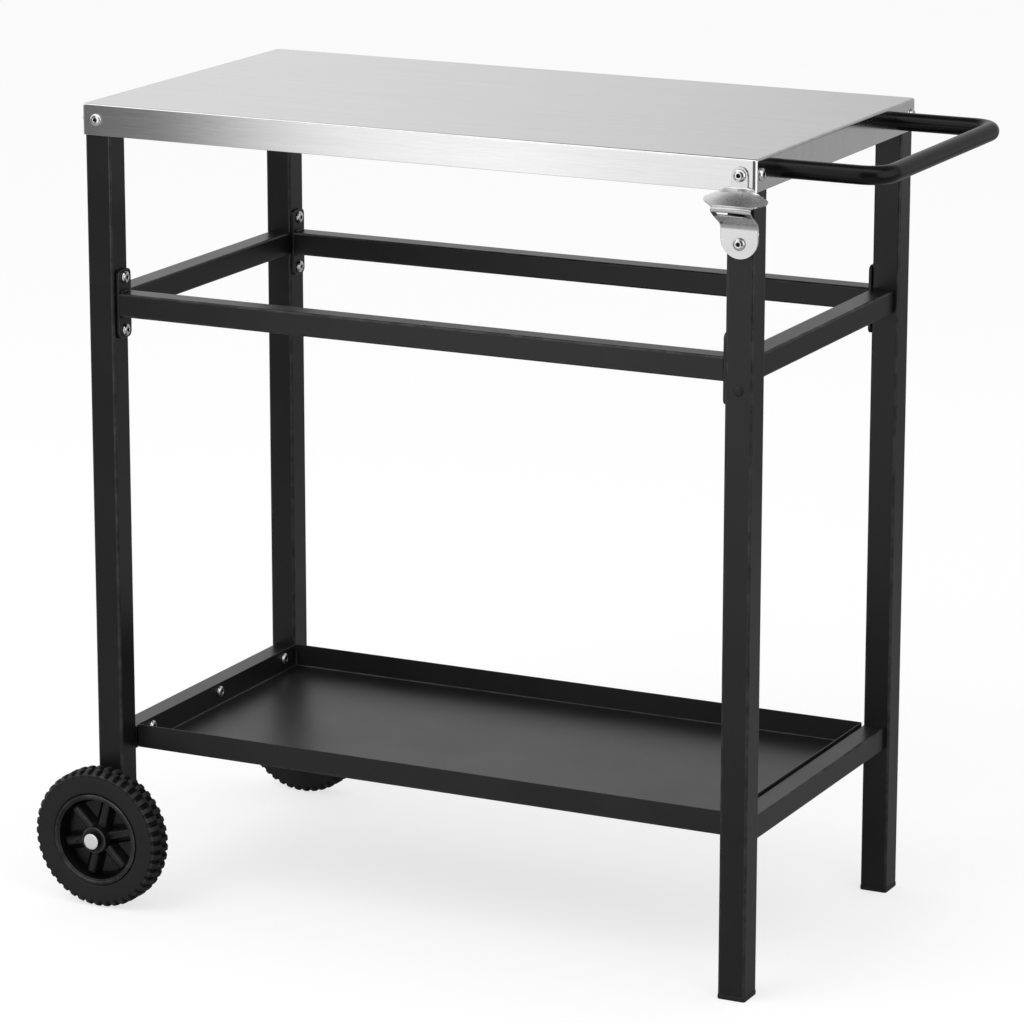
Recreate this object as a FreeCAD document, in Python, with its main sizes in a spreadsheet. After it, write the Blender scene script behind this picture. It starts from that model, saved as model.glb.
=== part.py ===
"""Serving table for an outdoor pizza oven: steel work top, bolted tube frame, tray shelf, push handle, two wheels.

Frame: +X is the handle end, -Y the front, +Z up. The origin is on the floor, under the middle of the overall
length from the wheels to the handle.
Millimetres throughout.
"""
import FreeCAD, Part
import math
import os
import Sketcher

Vector = FreeCAD.Vector
Rotation = FreeCAD.Rotation
Placement = FreeCAD.Placement

doc = FreeCAD.newDocument("oven_table")
dims = doc.addObject("Spreadsheet::Sheet", "dims")
cells = []
nodes = []


def dim(alias, number):
    """Writes one driving dimension into the sheet under its own name."""
    cells.append(alias)
    cell = "A%d" % len(cells)
    dims.set(cell, str(number))
    dims.setAlias(cell, alias)


def size(alias):
    """The number that the sheet holds under this name."""
    return float(getattr(dims, alias))


# Work top
dim("top_length", 762)
dim("top_depth", 418)
dim("top_height", 866)
dim("skirt_depth", 33)
dim("top_sheet", 1.2)
dim("top_bend", 2)
dim("stiffener_spacing", 150)
dim("stiffener_crown", 30)
dim("stiffener_flange", 12)
dim("stiffener_rise", 18)
dim("stiffener_end_gap", 3)
# Square tubes of the frame
dim("leg_side", 30)
dim("leg_wall", 1.5)
dim("leg_corner", 2.5)
dim("rail_side", 25)
dim("rail_wall", 1.5)
dim("rail_corner", 2)
dim("mid_rail_top", 666)
dim("shelf_rail_top", 187)
dim("seat_gap", 0.3)
# End plates of the long rails
dim("plate_thick", 3)
dim("plate_height", 73)
dim("plate_corner", 7)
dim("plate_screw_pitch", 56)
dim("weld_leg", 3)
# Shelf tray
dim("tray_rise", 26)
dim("tray_proud", 2.5)
dim("tray_sheet", 1.2)
dim("tray_bend", 2)
dim("tray_screw_inset", 29.8)
dim("tray_screw_drop", 10)
# Push handle
dim("handle_tube", 19)
dim("handle_wall", 1.5)
dim("handle_inset", 54)
dim("handle_reach", 111)
dim("handle_bend", 24)
dim("insert_depth", 14)
# Screws and rivet nuts
dim("screw_shank", 6)
dim("screw_length", 10)
dim("screw_head", 13)
dim("screw_head_rise", 3.3)
dim("socket_flats", 4)
dim("socket_depth", 2)
dim("screw_hole", 6.5)
dim("nut_body", 9)
dim("nut_length", 9)
dim("nut_flange", 1)
dim("nut_flange_width", 10.5)
dim("fit_gap", 0.05)
dim("side_screw_inset", 12)
dim("washer_width", 18)
dim("washer_thick", 1.5)
# Bottle opener
dim("opener_sheet", 2)
dim("opener_pitch", 68)
dim("opener_tab", 17)
dim("opener_width", 40)
dim("opener_ridge_reach", 20)
dim("opener_ridge_drop", 31)
dim("opener_ridge_width", 42.4)
dim("opener_hood_width", 38.8)
dim("opener_foot_rise", 16)
dim("opener_wing_span", 68)
dim("opener_wing_drop", 22.5)
dim("opener_wing_lead", 5)
dim("opener_tail", 14.8)
dim("opener_slot_width", 33)
dim("opener_slot_rise", 5.5)
# Plugs and feet
dim("plug_height", 634)
dim("plug_head", 10.5)
dim("plug_head_rise", 1.6)
dim("plug_stem", 8)
dim("plug_depth", 6)
dim("foot_rise", 5)
dim("foot_lip", 0.5)
dim("foot_insert", 15)
dim("foot_wall", 2)
# Wheels
dim("wheel_width", 33)
dim("tread_radius", 76)
dim("rim_radius", 50)
dim("axle_drop", 24)
dim("wheel_gap", 4)
dim("rim_proud", 0.8)
dim("rim_sides", 24)
dim("lug_count", 44)
dim("lug_depth", 3.2)
dim("tread_groove", 2.5)
dim("shoulder", 5)
dim("barrel_wall", 5.5)
dim("hub_radius", 14.5)
dim("hub_length", 34.5)
dim("web_floor", 12)
dim("web_panel", 17)
dim("web_back", 8)
dim("spoke_count", 6)
dim("spoke_width", 9)
dim("spoke_crest", 25)
dim("spoke_channel", 18)
dim("wheel_turn", 15)
dim("axle_rod", 10)
dim("axle_gap", 0.08)
dim("axle_head_flats", 17)
dim("axle_head_rise", 6.4)
dim("spacer_width", 16)
dim("cap_width", 17.6)
dim("cap_rise", 4.6)
dim("cap_cavity", 3.4)
doc.recompute()

# Places that several pieces share
LEG_X = "(dims.top_length / 2 - dims.top_sheet - dims.nut_flange - dims.leg_side / 2)"
LEG_Y = "(dims.top_depth / 2 - dims.top_sheet - dims.nut_flange - dims.leg_side / 2)"
SKIRT_MID = "(dims.top_height - dims.skirt_depth / 2)"
RAIL_X = "(%s - dims.leg_side / 2 + dims.rail_side / 2)" % LEG_X
RAIL_Y = "(%s - dims.leg_side / 2 + dims.rail_side / 2)" % LEG_Y
MID_RAIL_Z = "(dims.mid_rail_top - dims.rail_side / 2)"
SHELF_RAIL_Z = "(dims.shelf_rail_top - dims.rail_side / 2)"
BAY_X = "(%s - dims.leg_side / 2)" % LEG_X
BAY_Y = "(%s - dims.leg_side / 2)" % LEG_Y
TRAY_X = "(%s - dims.nut_flange)" % BAY_X
TRAY_TOP = "(dims.shelf_rail_top + dims.tray_proud)"
TRAY_SCREW_Z = "(%s - dims.tray_screw_drop)" % TRAY_TOP
TRAY_SCREW_Y = "(%s - dims.tray_screw_inset)" % BAY_Y
WHEEL_START = "(dims.leg_side / 2 + dims.wheel_gap + dims.seat_gap)"
AXLE_Z = "dims.tread_radius"
HANDLE_Y = "(dims.top_depth / 2 - dims.handle_inset)"
MIDDLE_X = "((dims.top_length / 2 + dims.handle_reach + dims.handle_tube / 2 - %s - dims.tread_radius) / 2)" % LEG_X
SIDES = (("left", -1), ("right", 1))
ENDS = (("front", -1), ("rear", 1))

# Width of the chamfer that just reaches a round corner, as a share of the corner's radius
BEND_FLAT = 2 - math.sqrt(2)

UP = Rotation()
TO_FRONT = Rotation(Vector(1, 0, 0), 90)
TO_REAR = Rotation(Vector(1, 0, 0), -90)
TO_RIGHT = Rotation(Vector(0, 1, 0), 90)
TO_LEFT = Rotation(Vector(0, 1, 0), -90)


def signed(sign, expression):
    """The expression, or its negative for the left and front pieces."""
    return expression if sign > 0 else "-" + expression


def place(thing, x="0", y="0", z="0", rotation=UP):
    """Puts a piece where its expressions say, x counted from the middle of the top, turned by the rotation."""
    thing.Placement = Placement(Vector(0, 0, 0), rotation)
    for axis, expression in zip("xyz", ("%s - %s" % (x, MIDDLE_X), y, z)):
        thing.setExpression("Placement.Base." + axis, expression)


def node(thing, label):
    """Names a finished piece and keeps it for the files."""
    thing.Label = label
    nodes.append(thing)
    return thing


def origin_plane(body, role):
    """One of the body's own origin planes."""
    return next(item for item in body.Origin.OriginFeatures if item.Role == role)


def new_sketch(body, name, role, offset=None):
    """A sketch on one of the body's origin planes, moved along its normal by the offset."""
    sketch = body.newObject("Sketcher::SketchObject", name)
    sketch.AttachmentSupport = [(origin_plane(body, role), "")]
    sketch.MapMode = "FlatFace"
    if offset:
        sketch.setExpression("AttachmentOffset.Base.z", offset)
    return sketch


def pin_point(sketch, geometry, corner, u, v):
    """Ties a sketch point to two expressions, measured from the sketch's origin."""
    for kind, expression in (("DistanceX", u), ("DistanceY", v)):
        if expression == "0":
            axis = -2 if kind == "DistanceX" else -1
            sketch.addConstraint(Sketcher.Constraint("PointOnObject", geometry, corner, axis))
            continue
        start = float(sketch.evalExpression(expression))
        row = sketch.addConstraint(Sketcher.Constraint(kind, -1, 1, geometry, corner, start))
        sketch.setExpression("Constraints[%d]" % row, expression)


def outline(sketch, points):
    """A closed outline of straight lines through points given as pairs of expressions."""
    first = sketch.GeometryCount
    count = len(points)
    start = [Vector(*[float(sketch.evalExpression(item)) for item in point]) for point in points]
    for i in range(count):
        sketch.addGeometry(Part.LineSegment(start[i], start[(i + 1) % count]), False)
    for i in range(count):
        sketch.addConstraint(Sketcher.Constraint("Coincident", first + i, 2, first + (i + 1) % count, 1))
    for i, (u, v) in enumerate(points):
        pin_point(sketch, first + i, 1, u, v)


def open_line(sketch, points):
    """A run of straight lines through points given as pairs of expressions, open at both ends."""
    start = [Vector(*[float(sketch.evalExpression(item)) for item in point]) for point in points]
    last = len(points) - 2
    for i in range(last + 1):
        sketch.addGeometry(Part.LineSegment(start[i], start[i + 1]), False)
    for i in range(last):
        sketch.addConstraint(Sketcher.Constraint("Coincident", i, 2, i + 1, 1))
    for i in range(last + 1):
        pin_point(sketch, i, 1, *points[i])
    pin_point(sketch, last, 2, *points[-1])


def rectangle(sketch, width, height, u="0", v="0"):
    """A rectangle centred on (u, v)."""
    left, right = "%s - (%s) / 2" % (u, width), "%s + (%s) / 2" % (u, width)
    low, high = "%s - (%s) / 2" % (v, height), "%s + (%s) / 2" % (v, height)
    outline(sketch, [(left, low), (right, low), (right, high), (left, high)])


def polygon(sketch, sides, flats, u="0", v="0"):
    """A regular polygon of the given width across flats, centred on (u, v)."""
    reach = "(%s) / 2 / cos(%g)" % (flats, 180 / sides)
    turns = [(i + 0.5) * 360 / sides for i in range(sides)]
    outline(sketch, [("%s + %s * cos(%g)" % (u, reach, turn), "%s + %s * sin(%g)" % (v, reach, turn))
                     for turn in turns])


def circle(sketch, diameter, u="0", v="0"):
    """A circle of the given diameter centred on (u, v)."""
    item = sketch.addGeometry(Part.Circle(Vector(1, 1, 0), Vector(0, 0, 1), 1.0), False)
    row = sketch.addConstraint(Sketcher.Constraint("Diameter", item, 2.0))
    sketch.setExpression("Constraints[%d]" % row, diameter)
    pin_point(sketch, item, 3, u, v)


def pad(body, sketch, length, symmetric=False, backward=False):
    """Grows the sketch along its normal, against it, or to both sides of its plane."""
    feature = body.newObject("PartDesign::Pad", sketch.Name + "_pad")
    feature.Profile = sketch
    feature.Reversed = backward
    feature.SideType = "Symmetric" if symmetric else "One side"
    feature.setExpression("Length", length)
    doc.recompute()
    return feature


def pocket(body, sketch, length, symmetric=False, forward=False):
    """Cuts the sketch away against its normal, along it, or to both sides, and makes sure that it cut."""
    before = body.Shape.Volume
    feature = body.newObject("PartDesign::Pocket", sketch.Name + "_pocket")
    feature.Profile = sketch
    feature.SideType = "Symmetric" if symmetric else "One side"
    feature.Reversed = forward
    feature.setExpression("Length", length)
    doc.recompute()
    if body.Shape.Volume >= before:
        raise RuntimeError(sketch.Name + " cut nothing")
    return feature


def flatten_edges(body, radius, chosen):
    """Chamfers the edges that the test chooses, so that the flat just reaches a round corner of this radius."""
    base = body.Tip
    names = ["Edge%d" % (i + 1) for i, edge in enumerate(base.Shape.Edges) if chosen(edge)]
    feature = body.newObject("PartDesign::Chamfer", body.Name + "_edges")
    feature.Base = (base, names)
    feature.setExpression("Size", "%s * %.4f" % (radius, BEND_FLAT))
    doc.recompute()
    return feature


def around(body, feature, count):
    """Repeats a feature evenly around the body's vertical axis."""
    before = body.Shape.Volume
    pattern = body.newObject("PartDesign::PolarPattern", feature.Name + "_ring")
    pattern.Originals = [feature]
    pattern.Axis = (feature.Profile[0], ["N_Axis"])
    pattern.setExpression("Occurrences", count)
    body.Tip = pattern
    doc.recompute()
    if abs(body.Shape.Volume - before) < 1e-6:
        raise RuntimeError(feature.Name + " was not repeated")
    return pattern


def runs_along(direction):
    """A test for straight edges that run along one axis."""
    def test(edge):
        if len(edge.Vertexes) != 2 or edge.Curve.TypeId != "Part::GeomLine":
            return False
        return abs(abs(edge.tangentAt(edge.FirstParameter).dot(direction)) - 1) < 1e-6
    return test


def on_outside(body):
    """A test for edges that lie on the body's bounding box, not on the walls of its hollow."""
    box = body.Shape.BoundBox

    def test(edge):
        centre = edge.BoundBox.Center
        sides = ((centre.x, box.XMin, box.XMax), (centre.y, box.YMin, box.YMax), (centre.z, box.ZMin, box.ZMax))
        return sum(min(abs(at - low), abs(at - high)) < 1e-6 for at, low, high in sides) >= 2
    return test


def flat_at(height):
    """A test for edges that lie at one height."""
    def test(edge):
        return abs(edge.BoundBox.ZMin - height) < 1e-6 and abs(edge.BoundBox.ZMax - height) < 1e-6
    return test


def open_box(body, width, depth, rise, bend, sheet, open_end):
    """A folded pan with rounded outer corners: open_end tells whether its bottom or its top is open."""
    outside = new_sketch(body, body.Name + "_outside", "XY_Plane")
    rectangle(outside, width, depth)
    pad(body, outside, rise)
    floor = sheet if open_end == "top" else "(%s - %s)" % (rise, sheet)
    inside = new_sketch(body, body.Name + "_inside", "XY_Plane", floor)
    rectangle(inside, "%s - 2 * %s" % (width, sheet), "%s - 2 * %s" % (depth, sheet))
    pocket(body, inside, rise, forward=open_end == "top")
    box = body.Shape.BoundBox
    closed = box.ZMax if open_end == "bottom" else box.ZMin
    upright, folded, outer = runs_along(Vector(0, 0, 1)), flat_at(closed), on_outside(body)
    flatten_edges(body, bend, lambda edge: folded(edge) or upright(edge) and outer(edge))


def square_tube(name, role, side, wall, corner, length, symmetric):
    """A square tube with rounded corners, along the normal of the named plane."""
    body = doc.addObject("PartDesign::Body", name)
    direction = {"XY_Plane": Vector(0, 0, 1), "XZ_Plane": Vector(0, 1, 0), "YZ_Plane": Vector(1, 0, 0)}[role]
    outside = new_sketch(body, name + "_outside", role)
    rectangle(outside, side, side)
    pad(body, outside, length, symmetric)
    inside = new_sketch(body, name + "_inside", role)
    inner = "(%s - 2 * %s)" % (side, wall)
    rectangle(inside, inner, inner)
    pocket(body, inside, length, symmetric, forward=not symmetric)
    along, outer = runs_along(direction), on_outside(body)
    flatten_edges(body, corner, lambda edge: along(edge) and outer(edge))
    return body


def bore(body, name, role, diameter, centres, reach, symmetric=False, forward=False):
    """Eight-sided holes at the given centres of one of the body's middle planes."""
    sketch = new_sketch(body, name, role)
    for u, v in centres:
        polygon(sketch, 8, diameter, u, v)
    pocket(body, sketch, reach, symmetric, forward)


def leg_holes(body, side, end):
    """Holes of one leg: rivet nuts for the top, the rail plate and the opener, or the axle."""
    sx, sy = dict(SIDES)[side], dict(ENDS)[end]
    base = "dims.foot_rise" if sx > 0 else "(%s - dims.axle_drop)" % AXLE_Z
    nut = "(dims.nut_body + 2 * dims.fit_gap)"
    reach = "dims.leg_side"
    skirt = "%s - %s" % (SKIRT_MID, base)
    outward = [("0", skirt)]
    if (side, end) == ("right", "front"):
        outward.append(("0", "%s - dims.opener_pitch - %s" % (SKIRT_MID, base)))
    bore(body, body.Name + "_face_holes", "XZ_Plane", nut, outward, reach, forward=sy < 0)
    inset = "(dims.top_depth / 2 - dims.side_screw_inset - %s)" % LEG_Y
    bore(body, body.Name + "_side_hole", "YZ_Plane", nut, [(signed(sy, inset), skirt)], reach, forward=sx > 0)
    plate_y = signed(-sy, "(%s - %s)" % (LEG_Y, RAIL_Y))
    plate = [(plate_y, "%s %s dims.plate_screw_pitch / 2 - %s" % (MID_RAIL_Z, mark, base)) for mark in "+-"]
    bore(body, body.Name + "_plate_holes", "YZ_Plane", nut, plate, reach, forward=sx < 0)
    if sx < 0:
        rod = "(dims.axle_rod + 2 * dims.fit_gap)"
        axle = [("0", "%s - %s" % (AXLE_Z, base))]
        bore(body, body.Name + "_axle_hole", "XZ_Plane", rod, axle, "dims.leg_side * 2", symmetric=True)
    elif sy < 0:
        stem = "(dims.plug_stem + 2 * dims.fit_gap)"
        spare = [("0", "dims.plug_height - %s" % base)]
        bore(body, body.Name + "_spare_hole", "XZ_Plane", stem, spare, reach, forward=True)


def make_legs():
    """Four legs: the right pair stands on feet, the left pair ends just below the axle."""
    for side, sx in SIDES:
        base = "dims.foot_rise" if sx > 0 else "(%s - dims.axle_drop)" % AXLE_Z
        length = "dims.top_height - dims.top_sheet - dims.seat_gap - %s" % base
        for end, sy in ENDS:
            name = "leg_%s_%s" % (end, side)
            body = square_tube(name, "XY_Plane", "dims.leg_side", "dims.leg_wall", "dims.leg_corner", length, False)
            leg_holes(body, side, end)
            place(body, signed(sx, LEG_X), signed(sy, LEG_Y), base)
            node(body, name)


def make_short_rails():
    """Rails welded between a front and a rear leg, level with the long rails and under the tray's ends."""
    for side, sx in SIDES:
        for level, height in (("mid", MID_RAIL_Z), ("shelf", SHELF_RAIL_Z)):
            name = "%s_rail_%s" % (level, side)
            length = "2 * %s" % BAY_Y
            body = square_tube(name, "XZ_Plane", "dims.rail_side", "dims.rail_wall", "dims.rail_corner", length, True)
            if level == "shelf":
                height_in_rail = "%s - %s" % (TRAY_SCREW_Z, SHELF_RAIL_Z)
                centres = [(y, height_in_rail) for y in ("-" + TRAY_SCREW_Y, "0", TRAY_SCREW_Y)]
                nut = "(dims.nut_body + 2 * dims.fit_gap)"
                bore(body, name + "_nut_holes", "YZ_Plane", nut, centres, "dims.rail_side", forward=sx < 0)
            place(body, signed(sx, RAIL_X), "0", height)
            node(body, name)


def make_long_rails():
    """Front and rear rails, each welded to an end plate that screws to the leg's inner side."""
    start = "(%s - dims.nut_flange)" % BAY_X
    for end, sy in ENDS:
        name = "mid_rail_" + end
        length = "2 * (%s - dims.plate_thick)" % start
        body = square_tube(name, "YZ_Plane", "dims.rail_side", "dims.rail_wall", "dims.rail_corner", length, True)
        place(body, "0", signed(sy, RAIL_Y), MID_RAIL_Z)
        node(body, name)
        for side, sx in SIDES:
            turn = UP if sx < 0 else Rotation(Vector(0, 0, 1), 180)
            plate = make_rail_plate("rail_plate_%s_%s" % (end, side))
            place(plate, signed(sx, start), signed(sy, RAIL_Y), MID_RAIL_Z, turn)


def make_rail_plate(name):
    """End plate with rounded corners, two screw holes and the fillet welds above and below its rail."""
    body = doc.addObject("PartDesign::Body", name)
    face = new_sketch(body, name + "_face", "YZ_Plane")
    rectangle(face, "dims.rail_side", "dims.plate_height")
    pad(body, face, "dims.plate_thick")
    flatten_edges(body, "dims.plate_corner", runs_along(Vector(1, 0, 0)))
    centres = [("0", "dims.plate_screw_pitch / 2"), ("0", "-dims.plate_screw_pitch / 2")]
    bore(body, name + "_holes", "YZ_Plane", "dims.screw_hole", centres, "dims.plate_thick", forward=True)
    weld = new_sketch(body, name + "_weld", "XZ_Plane")
    for mark in ("", "-"):
        root = "%sdims.rail_side / 2" % mark
        toe = "%s(dims.rail_side / 2 + dims.weld_leg)" % mark
        outline(weld, [("dims.plate_thick", root), ("dims.plate_thick + dims.weld_leg", root),
                       ("dims.plate_thick", toe)])
    pad(body, weld, "dims.rail_side - 4 * dims.rail_corner", symmetric=True)
    return node(body, name)


def make_top():
    """Work top: one sheet folded down on four sides, screwed through its skirts."""
    body = doc.addObject("PartDesign::Body", "top_panel")
    open_box(body, "dims.top_length", "dims.top_depth", "dims.skirt_depth", "dims.top_bend", "dims.top_sheet", "bottom")
    middle = "dims.skirt_depth / 2"
    across = "dims.top_length * 2"
    ends = [(signed(sx, LEG_X), middle) for _, sx in SIDES]
    bore(body, "skirt_face_holes", "XZ_Plane", "dims.screw_hole", ends, across, symmetric=True)
    inset = "(dims.top_depth / 2 - dims.side_screw_inset)"
    sides = [(signed(sy, inset), middle) for _, sy in ENDS]
    bore(body, "skirt_side_holes", "YZ_Plane", "dims.screw_hole", sides, across, symmetric=True)
    arms = [(signed(sy, HANDLE_Y), middle) for _, sy in ENDS]
    bore(body, "handle_holes", "YZ_Plane", "dims.screw_hole", arms, "dims.top_length", forward=True)
    place(body, z="dims.top_height - dims.skirt_depth")
    node(body, "top_panel")


def make_stiffeners():
    """Two hat channels spot-welded under the work top, along its length."""
    length = "dims.top_length - 2 * (dims.top_sheet + dims.stiffener_end_gap)"
    crown, sheet, drop = "dims.stiffener_crown / 2", "dims.top_sheet", "dims.stiffener_rise"
    shoulder = "(dims.stiffener_crown / 2 + dims.top_sheet)"
    brim = "(dims.stiffener_crown / 2 + dims.stiffener_flange)"
    outside = [(brim, "0"), (brim, "-" + sheet), (shoulder, "-" + sheet), (shoulder, "-" + drop)]
    inside = [(crown, "0"), (crown, "%s - %s" % (sheet, drop))]

    def mirrored(points):
        return [("-(%s)" % u, v) for u, v in points]

    points = outside + mirrored(reversed(outside)) + mirrored(inside) + inside[::-1]
    for end, sy in ENDS:
        name = "top_stiffener_" + end
        body = doc.addObject("PartDesign::Body", name)
        profile = new_sketch(body, name + "_profile", "YZ_Plane")
        outline(profile, points)
        pad(body, profile, length, symmetric=True)
        place(body, "0", signed(sy, "(dims.stiffener_spacing / 2)"), "dims.top_height - dims.top_sheet")
        node(body, name)


def make_tray():
    """Shelf tray: sheet floor with four upturned walls, screwed to the short rails."""
    body = doc.addObject("PartDesign::Body", "shelf_tray")
    depth = "2 * (%s - dims.seat_gap)" % BAY_Y
    open_box(body, "2 * " + TRAY_X, depth, "dims.tray_rise", "dims.tray_bend", "dims.tray_sheet", "top")
    height = "dims.tray_rise - dims.tray_screw_drop"
    centres = [(y, height) for y in ("-" + TRAY_SCREW_Y, "0", TRAY_SCREW_Y)]
    bore(body, "tray_holes", "YZ_Plane", "dims.screw_hole", centres, "dims.top_length * 2", symmetric=True)
    place(body, z="%s - dims.tray_rise" % TRAY_TOP)
    node(body, "shelf_tray")


def make_handle():
    """Push handle: tube bent twice, its arms butting on the right skirt. The path turns each bend in three steps."""
    body = doc.addObject("PartDesign::Body", "handle_tube_bent")
    path = new_sketch(body, "handle_path", "XY_Plane")
    near, half = "dims.handle_reach - dims.handle_bend", "(%s - dims.handle_bend)" % HANDLE_Y
    quarter = [("%s + dims.handle_bend * cos(%d)" % (near, turn), "%s + dims.handle_bend * sin(%d)" % (half, turn))
               for turn in (0, 30, 60, 90)]
    rear = quarter + [("0", HANDLE_Y)]
    points = [(u, "-(%s)" % v) for u, v in reversed(rear)] + rear
    open_line(path, points)
    ring = new_sketch(body, "handle_ring", "YZ_Plane")
    polygon(ring, 16, "dims.handle_tube * cos(11.25)", "-" + HANDLE_Y, "0")
    polygon(ring, 8, "(dims.handle_tube - 2 * dims.handle_wall) * cos(22.5)", "-" + HANDLE_Y, "0")
    doc.recompute()
    pipe = body.newObject("PartDesign::AdditivePipe", "handle_pipe")
    pipe.Profile = ring
    pipe.Spine = (path, ["Edge%d" % (i + 1) for i in range(len(points) - 1)])
    pipe.Transition = "Right corner"
    doc.recompute()
    place(body, "dims.top_length / 2", "0", SKIRT_MID)
    node(body, "handle_tube")


def make_screw(name, length):
    """Pattern piece: screw with a hex socket, seated at height 0 with its head above; the shank has flat sides."""
    body = doc.addObject("PartDesign::Body", name)
    head = new_sketch(body, name + "_head", "XY_Plane")
    polygon(head, 12, "dims.screw_head")
    pad(body, head, "dims.screw_head_rise")
    shank = new_sketch(body, name + "_shank", "XY_Plane")
    polygon(shank, 8, "dims.screw_shank")
    pad(body, shank, length, backward=True)
    socket = new_sketch(body, name + "_socket", "XY_Plane", "dims.screw_head_rise")
    polygon(socket, 6, "dims.socket_flats")
    pocket(body, socket, "dims.socket_depth")
    return body


def make_nut():
    """Pattern piece: rivet nut, its flange above height 0 and its body below."""
    body = doc.addObject("PartDesign::Body", "rivet_nut")
    flange = new_sketch(body, "rivet_nut_flange", "XY_Plane")
    polygon(flange, 8, "dims.nut_flange_width")
    pad(body, flange, "dims.nut_flange")
    sleeve = new_sketch(body, "rivet_nut_sleeve", "XY_Plane")
    polygon(sleeve, 8, "dims.nut_body")
    pad(body, sleeve, "dims.nut_length", backward=True)
    bore(body, "rivet_nut_bore", "XY_Plane", "(dims.screw_shank + 2 * dims.fit_gap)", [("0", "0")],
         "4 * dims.nut_length", symmetric=True)
    return body


def make_ring(name, outer, inner, thick, sides=12):
    """Pattern piece: a washer or collar from height 0 upwards, flat-sided like the hole that takes it."""
    body = doc.addObject("PartDesign::Body", name)
    plan = new_sketch(body, name + "_plan", "XY_Plane")
    polygon(plan, sides, outer)
    polygon(plan, sides, inner)
    pad(body, plan, thick)
    return body


def group(label, master, seats):
    """One node of equal fasteners: a copy of the pattern piece in each seat."""
    copies = []
    for x, y, z, rotation in seats:
        copy = doc.addObject("App::Link", label + "_copy")
        copy.LinkedObject = master
        place(copy, x, y, z, rotation)
        copies.append(copy)
    cluster = doc.addObject("Part::Compound", label)
    cluster.Links = copies
    node(cluster, label)


def make_fasteners():
    """Screws and rivet nuts of the top, the rail plates, the tray and the opener."""
    screw = make_screw("button_screw", "dims.screw_length")
    nut = make_nut()
    front_out = {-1: TO_FRONT, 1: TO_REAR}
    side_out = {-1: TO_LEFT, 1: TO_RIGHT}
    skirt_x, skirt_y = "dims.top_length / 2", "dims.top_depth / 2"
    leg_face_x = "(%s + dims.leg_side / 2)" % LEG_X
    leg_face_y = "(%s + dims.leg_side / 2)" % LEG_Y
    inset = "(dims.top_depth / 2 - dims.side_screw_inset)"
    screws, nuts = [], []
    for side, sx in SIDES:
        for end, sy in ENDS:
            if (side, end) != ("right", "front"):
                screws.append((signed(sx, LEG_X), signed(sy, skirt_y), SKIRT_MID, front_out[sy]))
            screws.append((signed(sx, skirt_x), signed(sy, inset), SKIRT_MID, side_out[sx]))
            nuts.append((signed(sx, LEG_X), signed(sy, leg_face_y), SKIRT_MID, front_out[sy]))
            nuts.append((signed(sx, leg_face_x), signed(sy, inset), SKIRT_MID, side_out[sx]))
    group("top_screws", screw, screws)
    group("top_nuts", nut, nuts)

    low_screw = "(%s - dims.opener_pitch)" % SKIRT_MID
    opener_face = "-(%s + dims.nut_flange + dims.opener_sheet)" % leg_face_y
    group("opener_screws", screw, [(LEG_X, "-(%s + dims.opener_sheet)" % skirt_y, SKIRT_MID, TO_FRONT),
                                   (LEG_X, opener_face, low_screw, TO_FRONT)])
    group("opener_nut", nut, [(LEG_X, "-" + leg_face_y, low_screw, TO_FRONT)])

    plate_face = "(%s - dims.nut_flange - dims.plate_thick)" % BAY_X
    heights = ["%s %s dims.plate_screw_pitch / 2" % (MID_RAIL_Z, mark) for mark in "+-"]
    corners = [(sx, sy, z) for _, sx in SIDES for _, sy in ENDS for z in heights]
    group("rail_screws", screw, [(signed(sx, plate_face), signed(sy, RAIL_Y), z, side_out[-sx])
                                 for sx, sy, z in corners])
    group("rail_nuts", nut, [(signed(sx, BAY_X), signed(sy, RAIL_Y), z, side_out[-sx]) for sx, sy, z in corners])

    wall_face = "(%s - dims.tray_sheet)" % TRAY_X
    places = [(sx, y) for _, sx in SIDES for y in ("-" + TRAY_SCREW_Y, "0", TRAY_SCREW_Y)]
    group("tray_screws", screw, [(signed(sx, wall_face), y, TRAY_SCREW_Z, side_out[-sx]) for sx, y in places])
    group("tray_nuts", nut, [(signed(sx, BAY_X), y, TRAY_SCREW_Z, side_out[-sx]) for sx, y in places])


def make_handle_fixings():
    """Each handle arm: a threaded plug in the tube, a screw from inside the skirt and its wide washer."""
    inner = "(dims.top_length / 2 - dims.top_sheet)"
    hollow = "(dims.handle_tube - 2 * dims.handle_wall) * cos(22.5)"
    plug = make_ring("tube_plug", "(%s - 2 * dims.fit_gap)" % hollow, "(dims.screw_shank + 2 * dims.fit_gap)",
                     "dims.insert_depth", 8)
    washer = make_ring("wide_washer", "dims.washer_width", "dims.screw_hole", "dims.washer_thick")
    screw = make_screw("handle_screw", "(dims.screw_length + dims.washer_thick + dims.top_sheet)")
    arms = [signed(sy, HANDLE_Y) for _, sy in ENDS]
    group("handle_plugs", plug, [("dims.top_length / 2", y, SKIRT_MID, TO_RIGHT) for y in arms])
    group("handle_washers", washer, [(inner, y, SKIRT_MID, TO_LEFT) for y in arms])
    group("handle_screws", screw, [("%s - dims.washer_thick" % inner, y, SKIRT_MID, TO_LEFT) for y in arms])


def mitred(points, thick):
    """The closed outline of a folded strip: its back line and the same line moved out by the sheet."""
    moved = []
    for i, point in enumerate(points):
        before = point - points[i - 1] if i else points[1] - point
        after = points[i + 1] - point if i + 1 < len(points) else before
        first = Vector(0, before.z, -before.y).normalize()
        second = Vector(0, after.z, -after.y).normalize()
        middle = (first + second).normalize()
        moved.append(point + middle * (thick / middle.dot(first)))
    return points + moved[::-1]


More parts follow.
